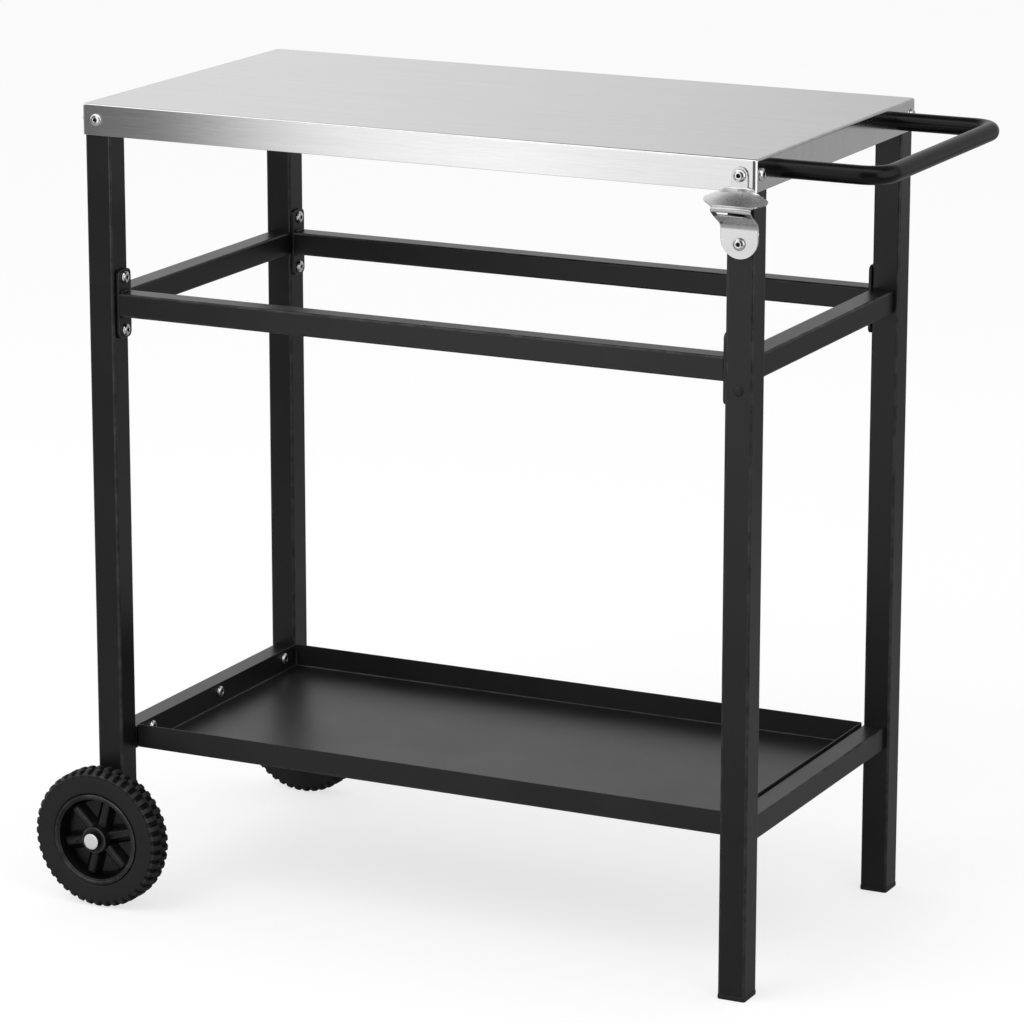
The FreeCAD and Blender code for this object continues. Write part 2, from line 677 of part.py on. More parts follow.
def opener_strip():
    """The opener's folded strip: flat tab, hood out to the ridge, scoop back to the flat lower plate."""
    sheet, reach = size("opener_sheet"), size("opener_ridge_reach")
    step = size("top_sheet")
    hood_start = size("skirt_depth") / 2
    back = [Vector(0, 0, size("opener_tab") / 2), Vector(0, 0, -hood_start),
            Vector(0, -reach, -size("opener_ridge_drop")), Vector(0, step, size("opener_foot_rise") - size("opener_pitch")),
            Vector(0, step, -size("opener_pitch") - size("opener_tail"))]
    ring = mitred(back, sheet)
    width = size("opener_wing_span")
    face = Part.Face(Part.makePolygon(ring + ring[:1]))
    strip = face.extrude(Vector(width, 0, 0))
    strip.translate(Vector(-width / 2, 0, 0))
    bends = [edge for edge in strip.Edges if runs_along(Vector(1, 0, 0))(edge)]
    outer_ridge = min(bends, key=lambda edge: edge.BoundBox.YMin)
    strip = strip.makeFillet(1.6 * sheet, [outer_ridge])
    return strip


def opener_outline():
    """The opener's front outline as a block: round tab, hood, ridge and round lower plate."""
    tab, plate = size("opener_tab") / 2, size("opener_width") / 2
    hood, ridge = size("opener_hood_width") / 2, size("opener_ridge_width") / 2
    shoulder, bottom = -size("skirt_depth") / 2, size("opener_pitch") + size("opener_tail")
    ridge_z, foot_z = -size("opener_ridge_drop"), size("opener_foot_rise") - size("opener_pitch")
    right = [Vector(tab, 0, 0), Vector(tab, 0, shoulder), Vector(hood, 0, shoulder), Vector(ridge, 0, ridge_z),
             Vector(plate, 0, foot_z), Vector(plate, 0, plate - bottom)]
    left = [Vector(-point.x, 0, point.z) for point in reversed(right)]
    edges = [Part.makeLine(a, b) for a, b in zip(right, right[1:])]
    edges.append(Part.Arc(right[-1], Vector(0, 0, -bottom), left[0]).toShape())
    edges += [Part.makeLine(a, b) for a, b in zip(left, left[1:])]
    edges.append(Part.Arc(left[-1], Vector(0, 0, tab), right[0]).toShape())
    deep = 4 * size("opener_ridge_reach")
    block = Part.Face(Part.Wire(edges)).extrude(Vector(0, deep, 0))
    block.translate(Vector(0, -deep / 2, 0))
    return block


def opener_wing(sign):
    """One pointed wing, folded back from the hood's side edge to a tip near the tab's plane."""
    sheet = size("opener_sheet")
    shoulder = -size("skirt_depth") / 2
    root_high = Vector(sign * (size("opener_hood_width") / 2 - sheet), -sheet / 2, shoulder - sheet / 4)
    root_low = Vector(sign * (size("opener_ridge_width") / 2 - sheet), -size("opener_ridge_reach"),
                      -size("opener_ridge_drop"))
    tip = Vector(sign * size("opener_wing_span") / 2, -sheet / 2 - size("opener_wing_lead"), -size("opener_wing_drop"))
    face = Part.Face(Part.makePolygon([root_high, root_low, tip, root_high]))
    normal = (root_low - root_high).cross(tip - root_high).normalize()
    if normal.y > 0:
        normal = -normal
    return face.extrude(normal * sheet * 0.8)


def make_opener():
    """Bottle opener: one stamped piece under the skirt screw and a second screw in the leg."""
    shape = opener_strip().common(opener_outline())
    shape = shape.fuse([opener_wing(-1), opener_wing(1)])
    sheet, reach = size("opener_sheet"), size("opener_ridge_reach")
    slot, rise = size("opener_slot_width"), size("opener_slot_rise")
    window = Part.makeBox(slot, reach, rise)
    window.translate(Vector(-slot / 2, -reach - sheet, -size("opener_ridge_drop") - sheet - rise))
    shape = shape.cut(window)
    for height in (0, -size("opener_pitch")):
        reach = size("screw_hole") / 2 / math.cos(math.pi / 8)
        turns = [math.pi * (i + 0.5) / 4 for i in range(9)]
        ring = [Vector(reach * math.cos(a), -3 * sheet, height + reach * math.sin(a)) for a in turns]
        shape = shape.cut(Part.Face(Part.makePolygon(ring)).extrude(Vector(0, 4 * sheet, 0)))
    opener = doc.addObject("Part::Feature", "bottle_opener")
    opener.Shape = shape.removeSplitter()
    place(opener, LEG_X, "-dims.top_depth / 2", SKIRT_MID)
    node(opener, "bottle_opener")


def make_feet():
    """Plastic ends of the legs: feet with a visible collar on the right, thin plugs on the left."""
    for side, sx in SIDES:
        for end, sy in ENDS:
            name = ("foot_%s_%s" if sx > 0 else "leg_plug_%s_%s") % (end, side)
            head = "dims.foot_rise" if sx > 0 else "(dims.foot_rise / 2)"
            body = doc.addObject("PartDesign::Body", name)
            plan = new_sketch(body, name + "_head", "XY_Plane")
            wide = "(dims.leg_side + 2 * dims.foot_lip)"
            rectangle(plan, wide, wide)
            pad(body, plan, head)
            flatten_edges(body, "dims.leg_corner", runs_along(Vector(0, 0, 1)))
            insert = "(dims.leg_side - 2 * dims.leg_wall - 4 * dims.fit_gap)"
            stem = new_sketch(body, name + "_stem", "XY_Plane")
            rectangle(stem, insert, insert)
            pad(body, stem, "%s + dims.foot_insert" % head)
            hollow = new_sketch(body, name + "_hollow", "XY_Plane", "%s + dims.foot_insert" % head)
            inside = "(%s - 2 * dims.foot_wall)" % insert
            rectangle(hollow, inside, inside)
            pocket(body, hollow, "dims.foot_insert")
            base = "0" if sx > 0 else "%s - dims.axle_drop - %s" % (AXLE_Z, head)
            place(body, signed(sx, LEG_X), signed(sy, LEG_Y), base)
            node(body, name)


def make_spare_plug():
    """Round plug in the spare hole of the front right leg."""
    body = doc.addObject("PartDesign::Body", "hole_plug")
    head = new_sketch(body, "hole_plug_head", "XY_Plane")
    polygon(head, 12, "dims.plug_head")
    pad(body, head, "dims.plug_head_rise")
    stem = new_sketch(body, "hole_plug_stem", "XY_Plane")
    polygon(stem, 8, "dims.plug_stem")
    pad(body, stem, "dims.plug_depth", backward=True)
    place(body, LEG_X, "-(%s + dims.leg_side / 2)" % LEG_Y, "dims.plug_height", TO_FRONT)
    node(body, "hole_plug")


def tyre_sector_points():
    """The tyre's profile points (radius, height) that its faces share, for the row nearer height 0."""
    low, top, cut = size("rim_proud"), size("tread_radius"), size("shoulder")
    floor = top - size("lug_depth")
    side = (top - cut, low)
    end = (size("wheel_width") - size("tread_groove")) / 2
    return {"side": side, "root": (floor, low + floor - side[0]), "crest": (top, low + cut),
            "end_low": (floor, end), "end_top": (top, end)}


def tyre_shape():
    """Tyre with flat-topped lugs: two rows, each lug beside a notch of the other row. All faces are planes."""
    wide, points = size("wheel_width"), tyre_sector_points()
    sectors = 2 * int(size("lug_count"))
    inner_sides = int(size("rim_sides"))
    step = math.tau / sectors

    def at(point, turn, mirrored=False):
        radius, height = point
        return Vector(radius * math.cos(turn), radius * math.sin(turn), wide - height if mirrored else height)

    def face(corners):
        return Part.Face(Part.makePolygon(corners + corners[:1]))

    faces = []
    for i in range(sectors):
        turns = (i * step, (i + 1) * step)
        for mirrored in (False, True):
            lug = i % 2 == int(mirrored)
            line = ["side", "root"] + (["crest", "end_top", "end_low"] if lug else ["end_low"])
            for low, high in zip(line, line[1:]):
                corners = [at(points[low], turns[0], mirrored), at(points[low], turns[1], mirrored),
                           at(points[high], turns[1], mirrored), at(points[high], turns[0], mirrored)]
                faces.append(face(corners))
            wall = [at(points[name], turns[0], mirrored) for name in ("root", "crest", "end_top", "end_low")]
            faces.append(face(wall))
        groove = points["end_low"]
        faces.append(face([at(groove, turns[0]), at(groove, turns[1]), at(groove, turns[1], True),
                           at(groove, turns[0], True)]))
    root = (size("rim_radius") + size("fit_gap"), points["side"][1])
    inner_turns = [(i + 0.5) * math.tau / inner_sides for i in range(inner_sides + 1)]
    for mirrored in (False, True):
        outer_ring = Part.makePolygon([at(points["side"], i * step, mirrored) for i in range(sectors)] +
                                      [at(points["side"], 0, mirrored)])
        inner_ring = Part.makePolygon([at(root, turn, mirrored) for turn in inner_turns[:-1]] +
                                      [at(root, inner_turns[0], mirrored)])
        faces.append(Part.makeFace([outer_ring, inner_ring], "Part::FaceMakerBullseye"))
    for first, second in zip(inner_turns, inner_turns[1:]):
        faces.append(face([at(root, first), at(root, second), at(root, second, True), at(root, first, True)]))
    shell = Part.Shell(faces)
    shell.sewShape()
    solid = Part.Solid(shell)
    if solid.Volume < 0:
        solid.reverse()
    return solid


def make_tyre(name):
    """Tyre, computed from the sheet because a sketch can't carry its staggered rows of lugs."""
    tyre = doc.addObject("Part::Feature", name)
    tyre.Shape = tyre_shape()
    return tyre


def make_rim(name):
    """Rim: barrel with two lips, hub, web with raised panels and six round-topped spokes."""
    body = doc.addObject("PartDesign::Body", name)
    inside, hub, panel = "(dims.rim_radius - dims.barrel_wall)", "dims.hub_radius", "dims.web_panel"
    sides = int(size("rim_sides"))
    reach = "2 * %%s * cos(%g)" % (180 / sides)
    barrel = new_sketch(body, name + "_barrel", "XY_Plane")
    polygon(barrel, sides, reach % "dims.rim_radius")
    polygon(barrel, sides, reach % inside)
    pad(body, barrel, "dims.wheel_width")
    web = new_sketch(body, name + "_web", "XY_Plane", "dims.web_back")
    polygon(web, sides, reach % ("(%s + 1)" % inside))
    pad(body, web, "%s - dims.web_back" % panel)
    boss = new_sketch(body, name + "_boss", "XY_Plane")
    polygon(boss, 18, "2 * %s" % hub)
    pad(body, boss, "dims.hub_length")
    channel = new_sketch(body, name + "_channel", "XY_Plane", panel)
    length, middle = "(%s - %s + 1)" % (inside, hub), "(%s + %s) / 2" % (inside, hub)
    rectangle(channel, "%s - 2" % length, "dims.spoke_channel", middle, "0")
    around(body, pocket(body, channel, "%s - dims.web_floor" % panel), "dims.spoke_count")
    spoke = new_sketch(body, name + "_spoke", "XY_Plane", "dims.web_floor")
    rectangle(spoke, length, "dims.spoke_width", middle, "0")
    rib = pad(body, spoke, "dims.spoke_crest - dims.web_floor")
    around(body, rib, "dims.spoke_count")
    crest = size("spoke_crest")

    def crest_edge(item):
        if not flat_at(crest)(item) or len(item.Vertexes) != 2 or item.Curve.TypeId != "Part::GeomLine":
            return False
        return item.Length > size("spoke_width") * 1.5
    flatten_edges(body, "dims.spoke_width / 2", crest_edge)
    shaft = new_sketch(body, name + "_bore", "XY_Plane")
    circle(shaft, "(dims.axle_rod + 2 * dims.axle_gap)")
    pocket(body, shaft, "dims.hub_length", forward=True)
    return body


def make_axle(end, sy, out):
    """Axle pin through the leg with its spacer, washer and push-on cap."""
    inner_face = signed(sy, "(%s - dims.leg_side / 2)" % LEG_Y)
    head = doc.addObject("Part::Prism", "axle_head_" + end)
    head.Polygon = 6
    head.setExpression("Circumradius", "dims.axle_head_flats / 2 / cos(30)")
    head.setExpression("Height", "dims.axle_head_rise")
    head.setExpression("Placement.Base.z", "-dims.axle_head_rise")
    hub_end = "(dims.leg_side / 2 + %s + dims.hub_length + dims.seat_gap)" % WHEEL_START
    rod = doc.addObject("Part::Cylinder", "axle_rod_" + end)
    rod.setExpression("Radius", "dims.axle_rod / 2")
    rod.setExpression("Height", "%s + dims.nut_flange + dims.cap_cavity - dims.seat_gap" % hub_end)
    pin = doc.addObject("Part::MultiFuse", "axle_pin_" + end)
    pin.Shapes = [head, rod]
    place(pin, "-" + LEG_X, inner_face, AXLE_Z, out)
    node(pin, "axle_pin_" + end)
    bore_width = "(dims.axle_rod + 2 * dims.axle_gap)"
    far = "%s * (%s + %s - dims.leg_side / 2)"
    spacer = make_ring("axle_spacer_" + end, "dims.spacer_width", bore_width, "dims.wheel_gap")
    place(spacer, "-" + LEG_X, signed(sy, "(%s + dims.leg_side / 2)" % LEG_Y), AXLE_Z, out)
    node(spacer, "axle_spacer_" + end)
    washer = make_ring("axle_washer_" + end, "dims.spacer_width + 2", bore_width, "dims.nut_flange")
    place(washer, "-" + LEG_X, far % (sy, LEG_Y, hub_end), AXLE_Z, out)
    node(washer, "axle_washer_" + end)
    cap = doc.addObject("PartDesign::Body", "axle_cap_" + end)
    plan = new_sketch(cap, cap.Name + "_plan", "XY_Plane")
    polygon(plan, 12, "dims.cap_width")
    pad(cap, plan, "dims.cap_rise")
    flatten_edges(cap, "dims.cap_rise", flat_at(size("cap_rise")))
    socket = new_sketch(cap, cap.Name + "_socket", "XY_Plane")
    polygon(socket, 12, "(dims.axle_rod + 2 * dims.fit_gap)")
    pocket(cap, socket, "dims.cap_cavity", forward=True)
    place(cap, "-" + LEG_X, far % (sy, LEG_Y, hub_end + " + dims.nut_flange"), AXLE_Z, out)
    node(cap, "axle_cap_" + end)


def make_wheels():
    """Two wheels outside the left legs, each turning on its own axle pin."""
    for end, sy in ENDS:
        out = TO_FRONT if sy < 0 else TO_REAR
        turned = out.multiply(Rotation(Vector(0, 0, 1), 90 - size("wheel_turn")))
        start = signed(sy, "(%s + %s)" % (LEG_Y, WHEEL_START))
        for name, maker in (("tyre_" + end, make_tyre), ("wheel_rim_" + end, make_rim)):
            piece = maker(name)
            place(piece, "-" + LEG_X, start, AXLE_Z, turned)
            node(piece, name)
        make_axle(end, sy, out)


def check_document():
    """Stops when any object failed to build or any piece is empty or broken."""
    failed = [item.Name for item in doc.Objects if {"Invalid", "Error"} & set(item.State)]
    broken = [item.Label for item in nodes if item.Shape.isNull() or not item.Shape.isValid()]
    if failed or broken:
        raise RuntimeError("failed objects %s, broken pieces %s" % (failed, broken))


def write_pieces():
    """Writes one file for each piece."""
    os.makedirs("parts", exist_ok=True)
    for item in nodes:
        item.Shape.exportStep("parts/%s.step" % item.Label)
        print("%-24s solids %2d  volume %10.1f" % (item.Label, len(item.Shape.Solids), item.Shape.Volume))


make_top()
make_stiffeners()
make_legs()
make_short_rails()
make_long_rails()
make_tray()
make_handle()
make_handle_fixings()
make_opener()
make_fasteners()
make_feet()
make_spare_plug()
make_wheels()
doc.recompute()
check_document()
write_pieces()
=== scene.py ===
"""Looks of the outdoor pizza oven table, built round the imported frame.

Lengths are metres, or millimetres where a class says so, in the frame of the CAD model: +X towards the push
handle, -Y to the front, +Z up. Each sub-assembly is a class that works out its own surfaces, and each finish
is a class that makes one material.
"""
import logging
import math
from collections.abc import Sequence
from dataclasses import dataclass, field
from enum import Enum
from functools import cache

import bmesh
import bpy
import numpy as np
from mathutils import Matrix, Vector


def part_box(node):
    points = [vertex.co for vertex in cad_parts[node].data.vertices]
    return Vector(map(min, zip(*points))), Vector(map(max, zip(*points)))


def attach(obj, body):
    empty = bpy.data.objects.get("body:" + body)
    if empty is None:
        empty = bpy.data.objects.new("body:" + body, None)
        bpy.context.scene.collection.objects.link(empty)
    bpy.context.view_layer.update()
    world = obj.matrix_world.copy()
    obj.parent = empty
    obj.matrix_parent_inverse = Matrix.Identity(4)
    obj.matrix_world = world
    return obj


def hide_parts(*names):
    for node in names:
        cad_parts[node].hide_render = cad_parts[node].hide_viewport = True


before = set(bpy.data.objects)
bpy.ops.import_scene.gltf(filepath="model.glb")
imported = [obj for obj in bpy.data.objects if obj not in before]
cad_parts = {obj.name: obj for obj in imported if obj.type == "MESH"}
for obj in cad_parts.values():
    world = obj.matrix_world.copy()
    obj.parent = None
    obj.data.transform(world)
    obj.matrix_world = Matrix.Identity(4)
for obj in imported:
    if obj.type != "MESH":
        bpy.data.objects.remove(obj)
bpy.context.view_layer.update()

LOG = logging.getLogger("oven_table")
MM = 0.001
# The flat kept beside a rounded corner, the distance at which two points are one, and the least plan radius.
HOLD = 0.4 * MM
MERGE = 0.002 * MM
LEAST_RADIUS = 0.03 * MM

Row = Sequence[float]
Point = tuple[float, float, float]
Node = bpy.types.Node
Socket = bpy.types.NodeSocket
Value = Socket | float | tuple[float, ...]
Inputs = dict[str | int, Value]
Outputs = bpy.types.bpy_prop_collection


class Body(Enum):
    """The bodies of the record that a piece can ride on."""

    TABLE = "table"
    FRONT_WHEEL = "front_wheel"
    REAR_WHEEL = "rear_wheel"


class Slot(Enum):
    """The material slots of the record."""

    STEEL = "brushed_steel"
    COAT = "black_coat"
    SCREW = "screw_steel"
    ZINC = "zinc_steel"
    CAP = "bright_cap"
    PLASTIC = "black_plastic"
    WHEEL = "wheel_plastic"
    RUBBER = "tyre_rubber"


class Facing(Enum):
    """The way a seated piece points, as its outward direction."""

    FRONT = (0.0, -1.0, 0.0)
    REAR = (0.0, 1.0, 0.0)
    LEFT = (-1.0, 0.0, 0.0)
    RIGHT = (1.0, 0.0, 0.0)

    def basis(self) -> np.ndarray:
        """Rows are the frame directions of the piece's own right, upward and outward axes."""
        upward, outward = np.array((0.0, 0.0, 1.0)), np.array(self.value)
        return np.stack([np.cross(upward, outward), upward, outward])


# Surfaces


def seated(points: np.ndarray, seat: Row, facing: Facing) -> np.ndarray:
    """Turns points from a piece's own axes (right, up, out) into the frame and moves them to its seat."""
    return points @ facing.basis() + np.asarray(seat, float)


def spun(points: np.ndarray, turn: float) -> np.ndarray:
    """Turns points of a piece's own axes about the outward one, by an angle in radians."""
    cos, sin = math.cos(turn), math.sin(turn)
    return points @ np.array([[cos, sin, 0], [-sin, cos, 0], [0, 0, 1]])


def rounded_path(corners: Sequence[Row], radii: Row, steps: int = 6, closed: bool = False,
                 hold: float = HOLD) -> tuple[np.ndarray, np.ndarray]:
    """Rounds the corners of a polyline.

    An arc touches both sides of its corner, as far from it as the radius times the tangent of half the turn.

    Args:
        corners: The polyline's corners.
        radii: One radius for each corner; the ends of an open line have none that counts.
        steps: Pieces in each arc.
        closed: Whether the last corner joins the first.
        hold: Length of the short flat kept at each side of an arc, which keeps the shading of flats flat.

    Returns:
        The points (n, 2), and a value for each, 1 on an arc and 0 beside it.
    """
    corner = np.asarray(corners, float)
    radius = np.asarray(radii, float)[:, None]
    into = corner - np.roll(corner, 1, axis=0)
    out = np.roll(corner, -1, axis=0) - corner
    into /= np.linalg.norm(into, axis=1, keepdims=True)
    out /= np.linalg.norm(out, axis=1, keepdims=True)
    turn = np.arctan2(into[:, 0] * out[:, 1] - into[:, 1] * out[:, 0], (into * out).sum(axis=1))
    start = corner - into * radius * np.tan(np.abs(turn) / 2)[:, None]
    arm = np.stack([into[:, 1], -into[:, 0]], axis=1) * np.sign(turn)[:, None] * radius
    angle = turn[:, None] * np.linspace(0, 1, steps + 1)
    cos, sin = np.cos(angle), np.sin(angle)
    swept = np.stack([arm[:, :1] * cos - arm[:, 1:] * sin, arm[:, :1] * sin + arm[:, 1:] * cos], axis=-1)
    arcs = (start - arm)[:, None] + swept
    before, after = start[:, None] - into[:, None] * hold, arcs[:, -1:] + out[:, None] * hold
    path = np.concatenate([before, arcs, after], axis=1)
    bend = np.ones(path.shape[:2])
    bend[:, [0, -1]] = 0
    if closed:
        return path.reshape(-1, 2), bend.ravel()
    path = np.concatenate([corner[:1], path[1:-1].reshape(-1, 2), corner[-1:]])
    return path, np.concatenate([[0], bend[1:-1].ravel(), [0]])


def rectangle_loft(half: Row, corner: float, profile: np.ndarray,
                   steps: int = 5) -> tuple[np.ndarray, np.ndarray, np.ndarray]:
    """Rounded rectangles stacked by a profile: each ring is drawn in by its inset, at its height.

    A ring's corner is an arc whose radius is the plan radius less the inset, and whose centre lies the inset
    and that radius inside both sides.

    Args:
        half: Half the rectangle's two sides.
        corner: The plan radius of its corners.
        profile: Rows of (inset, height).
        steps: Pieces in each corner arc.

    Returns:
        The points (rows, columns, 3), a corner value for each column, and each column's outward direction.
    """
    inset, height = np.asarray(profile, float).T
    quarter = np.arange(4)[:, None] * np.pi / 2
    sweep = quarter + np.linspace(0, np.pi / 2, steps + 1)
    angle = np.concatenate([quarter, sweep, quarter + np.pi / 2], axis=1)
    arm = np.stack([np.cos(angle), np.sin(angle)], axis=-1)
    along = np.stack([-np.sin(angle), np.cos(angle)], axis=-1)
    slide = np.zeros(angle.shape)
    slide[:, 0], slide[:, -1] = -HOLD, HOLD
    radius = np.maximum(corner - inset, LEAST_RADIUS)
    sign = np.array([[1, 1], [-1, 1], [-1, -1], [1, -1]])
    centre = sign * (np.asarray(half, float) - inset[:, None, None] - radius[:, None, None])
    ring = centre[:, :, None] + radius[:, None, None, None] * arm + slide[..., None] * along
    ring = ring.reshape(len(inset), -1, 2)
    level = np.broadcast_to(height[:, None, None], ring.shape[:2] + (1,))
    return np.concatenate([ring, level], axis=-1), (slide == 0).astype(float).ravel(), arm.reshape(-1, 2)


def turned(profile: Sequence[Row], sides: int) -> np.ndarray:
    """Turns a profile round the outward axis; its radius can go from a circle to a hexagon.

    By the hexagon share, the radius goes from itself to itself divided by the cosine of the angle to the
    middle of the nearest flat.

    Args:
        profile: Rows of (radius, height) or (radius, height, hexagon share).
        sides: Points in each ring.

    Returns:
        The points (rows, sides, 3) in the piece's own axes.
    """
    rows = np.asarray([tuple(row) + (0.0,) * (3 - len(row)) for row in profile], float)
    radius, height, share = (rows[:, i:i + 1] for i in range(3))
    angle = np.linspace(0, 2 * np.pi, sides, endpoint=False)[None]
    flat = 1 / np.cos(np.mod(angle, np.pi / 3) - np.pi / 6)
    reach = radius * ((1 - share) + share * flat)
    level = np.broadcast_to(height, reach.shape)
    return np.stack([reach * np.cos(angle), reach * np.sin(angle), level], axis=-1)


class Skin:
    """Collects grids of points into one mesh, with a flat-pattern place and a mark for rubbed edges and
    painted shade at each point.
    """

    def __init__(self) -> None:
        """Starts with no points."""
        self.points: list[np.ndarray] = []
        self.wear_and_shade: list[np.ndarray] = []
        self.pattern: list[np.ndarray] = []
        self.faces: list[list[int]] = []
        self.count = 0

    def add(self, grid: np.ndarray, wear_and_shade: np.ndarray | float = 0.0, pattern: np.ndarray | None = None,
            ring: bool = True, loop: bool = False, caps: bool = False,
            keep: np.ndarray | None = None) -> "Skin":
        """Adds a grid of points as quads between neighbouring rows and columns.

        Args:
            grid: Points (rows, columns, 3) in the frame.
            wear_and_shade: From 1, an edge that is rubbed, down to -1, a recess that is painted dark as
                shade.
            pattern: Each point's place on the flat sheet, (rows, columns, 2); its x and y if left out.
            ring: Whether the last column joins the first.
            loop: Whether the last row joins the first.
            caps: Whether the first and the last row are closed with a face.
            keep: Which quads to keep, (rows - 1, columns - 1), for an open grid; all if left out.

        Returns:
            This skin.
        """
        rows, columns = grid.shape[:2]
        index = self.count + np.arange(rows * columns).reshape(rows, columns)
        wide = np.concatenate([index, index[:, :1]], axis=1) if ring else index
        wide = np.concatenate([wide, wide[:1]], axis=0) if loop else wide
        quads = np.stack([wide[:-1, :-1], wide[:-1, 1:], wide[1:, 1:], wide[1:, :-1]], axis=-1)
        self.faces += (quads[keep] if keep is not None else quads.reshape(-1, 4)).tolist()
        if caps:
            self.faces += [index[0, ::-1].tolist(), index[-1].tolist()]
        flat = grid.reshape(-1, 3)
        self.points.append(flat)
        self.wear_and_shade.append(np.broadcast_to(wear_and_shade, (rows, columns)).ravel())
        self.pattern.append(flat[:, :2] if pattern is None else pattern.reshape(-1, 2))
        self.count += len(flat)
        return self

    def piece(self, node: str, finish: "Finish", body: Body = Body.TABLE, sharp: float = 38.0,
              front: Facing | None = None) -> bpy.types.Object:
        """Makes the object that stands for a CAD node and has its name.

        Seams and poles are merged, the faces look outwards and are shaded, and the piece rides on its body.

        Args:
            node: The CAD node.
            finish: What the piece is made of.
            body: The body it rides on.
            sharp: Edges that turn by more degrees than this are shaded sharp.
            front: For an open sheet, the way its faces look; a closed skin needs none.

        Returns:
            The object, at the origin, unturned and unscaled.
        """
        mesh = bpy.data.meshes.new(node)
        mesh.from_pydata(np.concatenate(self.points), [], self.faces)
        # Each point's mark runs from 1 on rubbed edges to -1 in recesses painted dark as shade.
        mesh.attributes.new("wear_and_shade", "FLOAT", "POINT").data.foreach_set("value", np.concatenate(self.wear_and_shade))
        place = np.concatenate(self.pattern)
        place = np.column_stack([place, np.zeros(len(place))])
        mesh.attributes.new("pattern", "FLOAT_VECTOR", "POINT").data.foreach_set("vector", place.ravel())
        shell = bmesh.new()
        shell.from_mesh(mesh)
        bmesh.ops.remove_doubles(shell, verts=shell.verts, dist=MERGE)
        bmesh.ops.dissolve_degenerate(shell, edges=shell.edges, dist=MERGE / 4)
        bmesh.ops.recalc_face_normals(shell, faces=shell.faces)
        if front is not None:
            facing = sum(face.normal.dot(front.value) * face.calc_area() for face in shell.faces)
            if facing < 0:
                bmesh.ops.reverse_faces(shell, faces=shell.faces)
        shell.to_mesh(mesh)
        shell.free()
        mesh.shade_smooth()
        mesh.set_sharp_from_angle(angle=math.radians(sharp))
        mesh.materials.append(finish.material())
        made = bpy.data.objects.new(node, mesh)
        bpy.context.scene.collection.objects.link(made)
        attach(made, body.value)
        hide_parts(node)
        LOG.info("%s: %d faces, rides on %s", node, len(mesh.polygons), body.value)
        return made


# Finishes


def grey(value: float) -> tuple[float, float, float, float]:
    """An opaque neutral colour."""
    return (value, value, value, 1.0)


class Graph:
    """Adds nodes to one shader tree and joins them."""

    def __init__(self, tree: bpy.types.NodeTree) -> None:
        """Keeps the node tree, a material's, a world's or a group's."""
        self.tree = tree

    def fill(self, node: Node, inputs: Inputs) -> None:
        """Gives a node its inputs: a socket is joined, and anything else is set as a plain value.

        Args:
            node: The node.
            inputs: What its inputs take, by name or number.
        """
        for key, value in inputs.items():
            if isinstance(value, Socket):
                self.tree.links.new(value, node.inputs[key])
            else:
                node.inputs[key].default_value = value

    def add(self, kind: str, inputs: Inputs | None = None, **settings: object) -> Node:
        """Adds a node, its own properties first, because a group has no sockets before it has its tree.

        Args:
            kind: Blender's name of the node type.
            inputs: What its inputs take, by name or number.
            settings: The node's own properties.

        Returns:
            The node.
        """
        made = self.tree.nodes.new(kind)
        for key, value in settings.items():
            setattr(made, key, value)
        self.fill(made, inputs or {})
        return made

    def effect(self, tree: bpy.types.NodeTree, inputs: Inputs) -> Outputs:
        """Places a shared effect with this material's own values and gives its outputs."""
        return self.add("ShaderNodeGroup", inputs, node_tree=tree).outputs

    def math(self, operation: str, first: Value, second: Value = 0.0, third: Value = 0.0) -> Socket:
        """The result of a Math node, each of whose values is a number or a socket."""
        return self.add("ShaderNodeMath", {0: first, 1: second, 2: third}, operation=operation).outputs[0]

    def spread(self, value: Socket, low: float, high: float) -> Socket:
        """Low where the value is 0 and high where it is 1, straight between."""
        return self.math("MULTIPLY_ADD", value, high - low, low)

    def about(self, value: Socket, middle: float, reach: float) -> Socket:
        """From middle - reach where the value is 0 to middle + reach where it is 1."""
        return self.spread(value, middle - reach, middle + reach)

    def noise(self, place: Socket, scale: Value, detail: float, roughness: float) -> Socket:
        """A noise texture's value at a place; each octave of its detail weighs roughness times the last."""
        inputs = {"Vector": place, "Scale": scale, "Detail": detail, "Roughness": roughness}
        return self.add("ShaderNodeTexNoise", inputs).outputs[0]

    def band(self, value: Socket, low: float, high: float) -> Socket:
        """0 at low and 1 at high, smooth between and level beyond."""
        inputs = {"Value": value, "From Min": low, "From Max": high}
        return self.add("ShaderNodeMapRange", inputs, interpolation_type="SMOOTHSTEP").outputs["Result"]

    def mix(self, share: Socket, first: Value, second: Value) -> Socket:
        """A colour between two, by a share from 0 to 1."""
        return self.add("ShaderNodeMix", {0: share, 6: first, 7: second}, data_type="RGBA").outputs[2]

    def relief(self, height: Socket, depth: float) -> Socket:
        """The normal of a height that, times the depth, is in metres."""
        made = self.add("ShaderNodeBump", {"Height": height, "Strength": 1.0, "Distance": depth})
        return made.outputs["Normal"]

    def place(self) -> Socket:
        """The place on the object, in metres."""
        return self.add("ShaderNodeTexCoord").outputs["Object"]


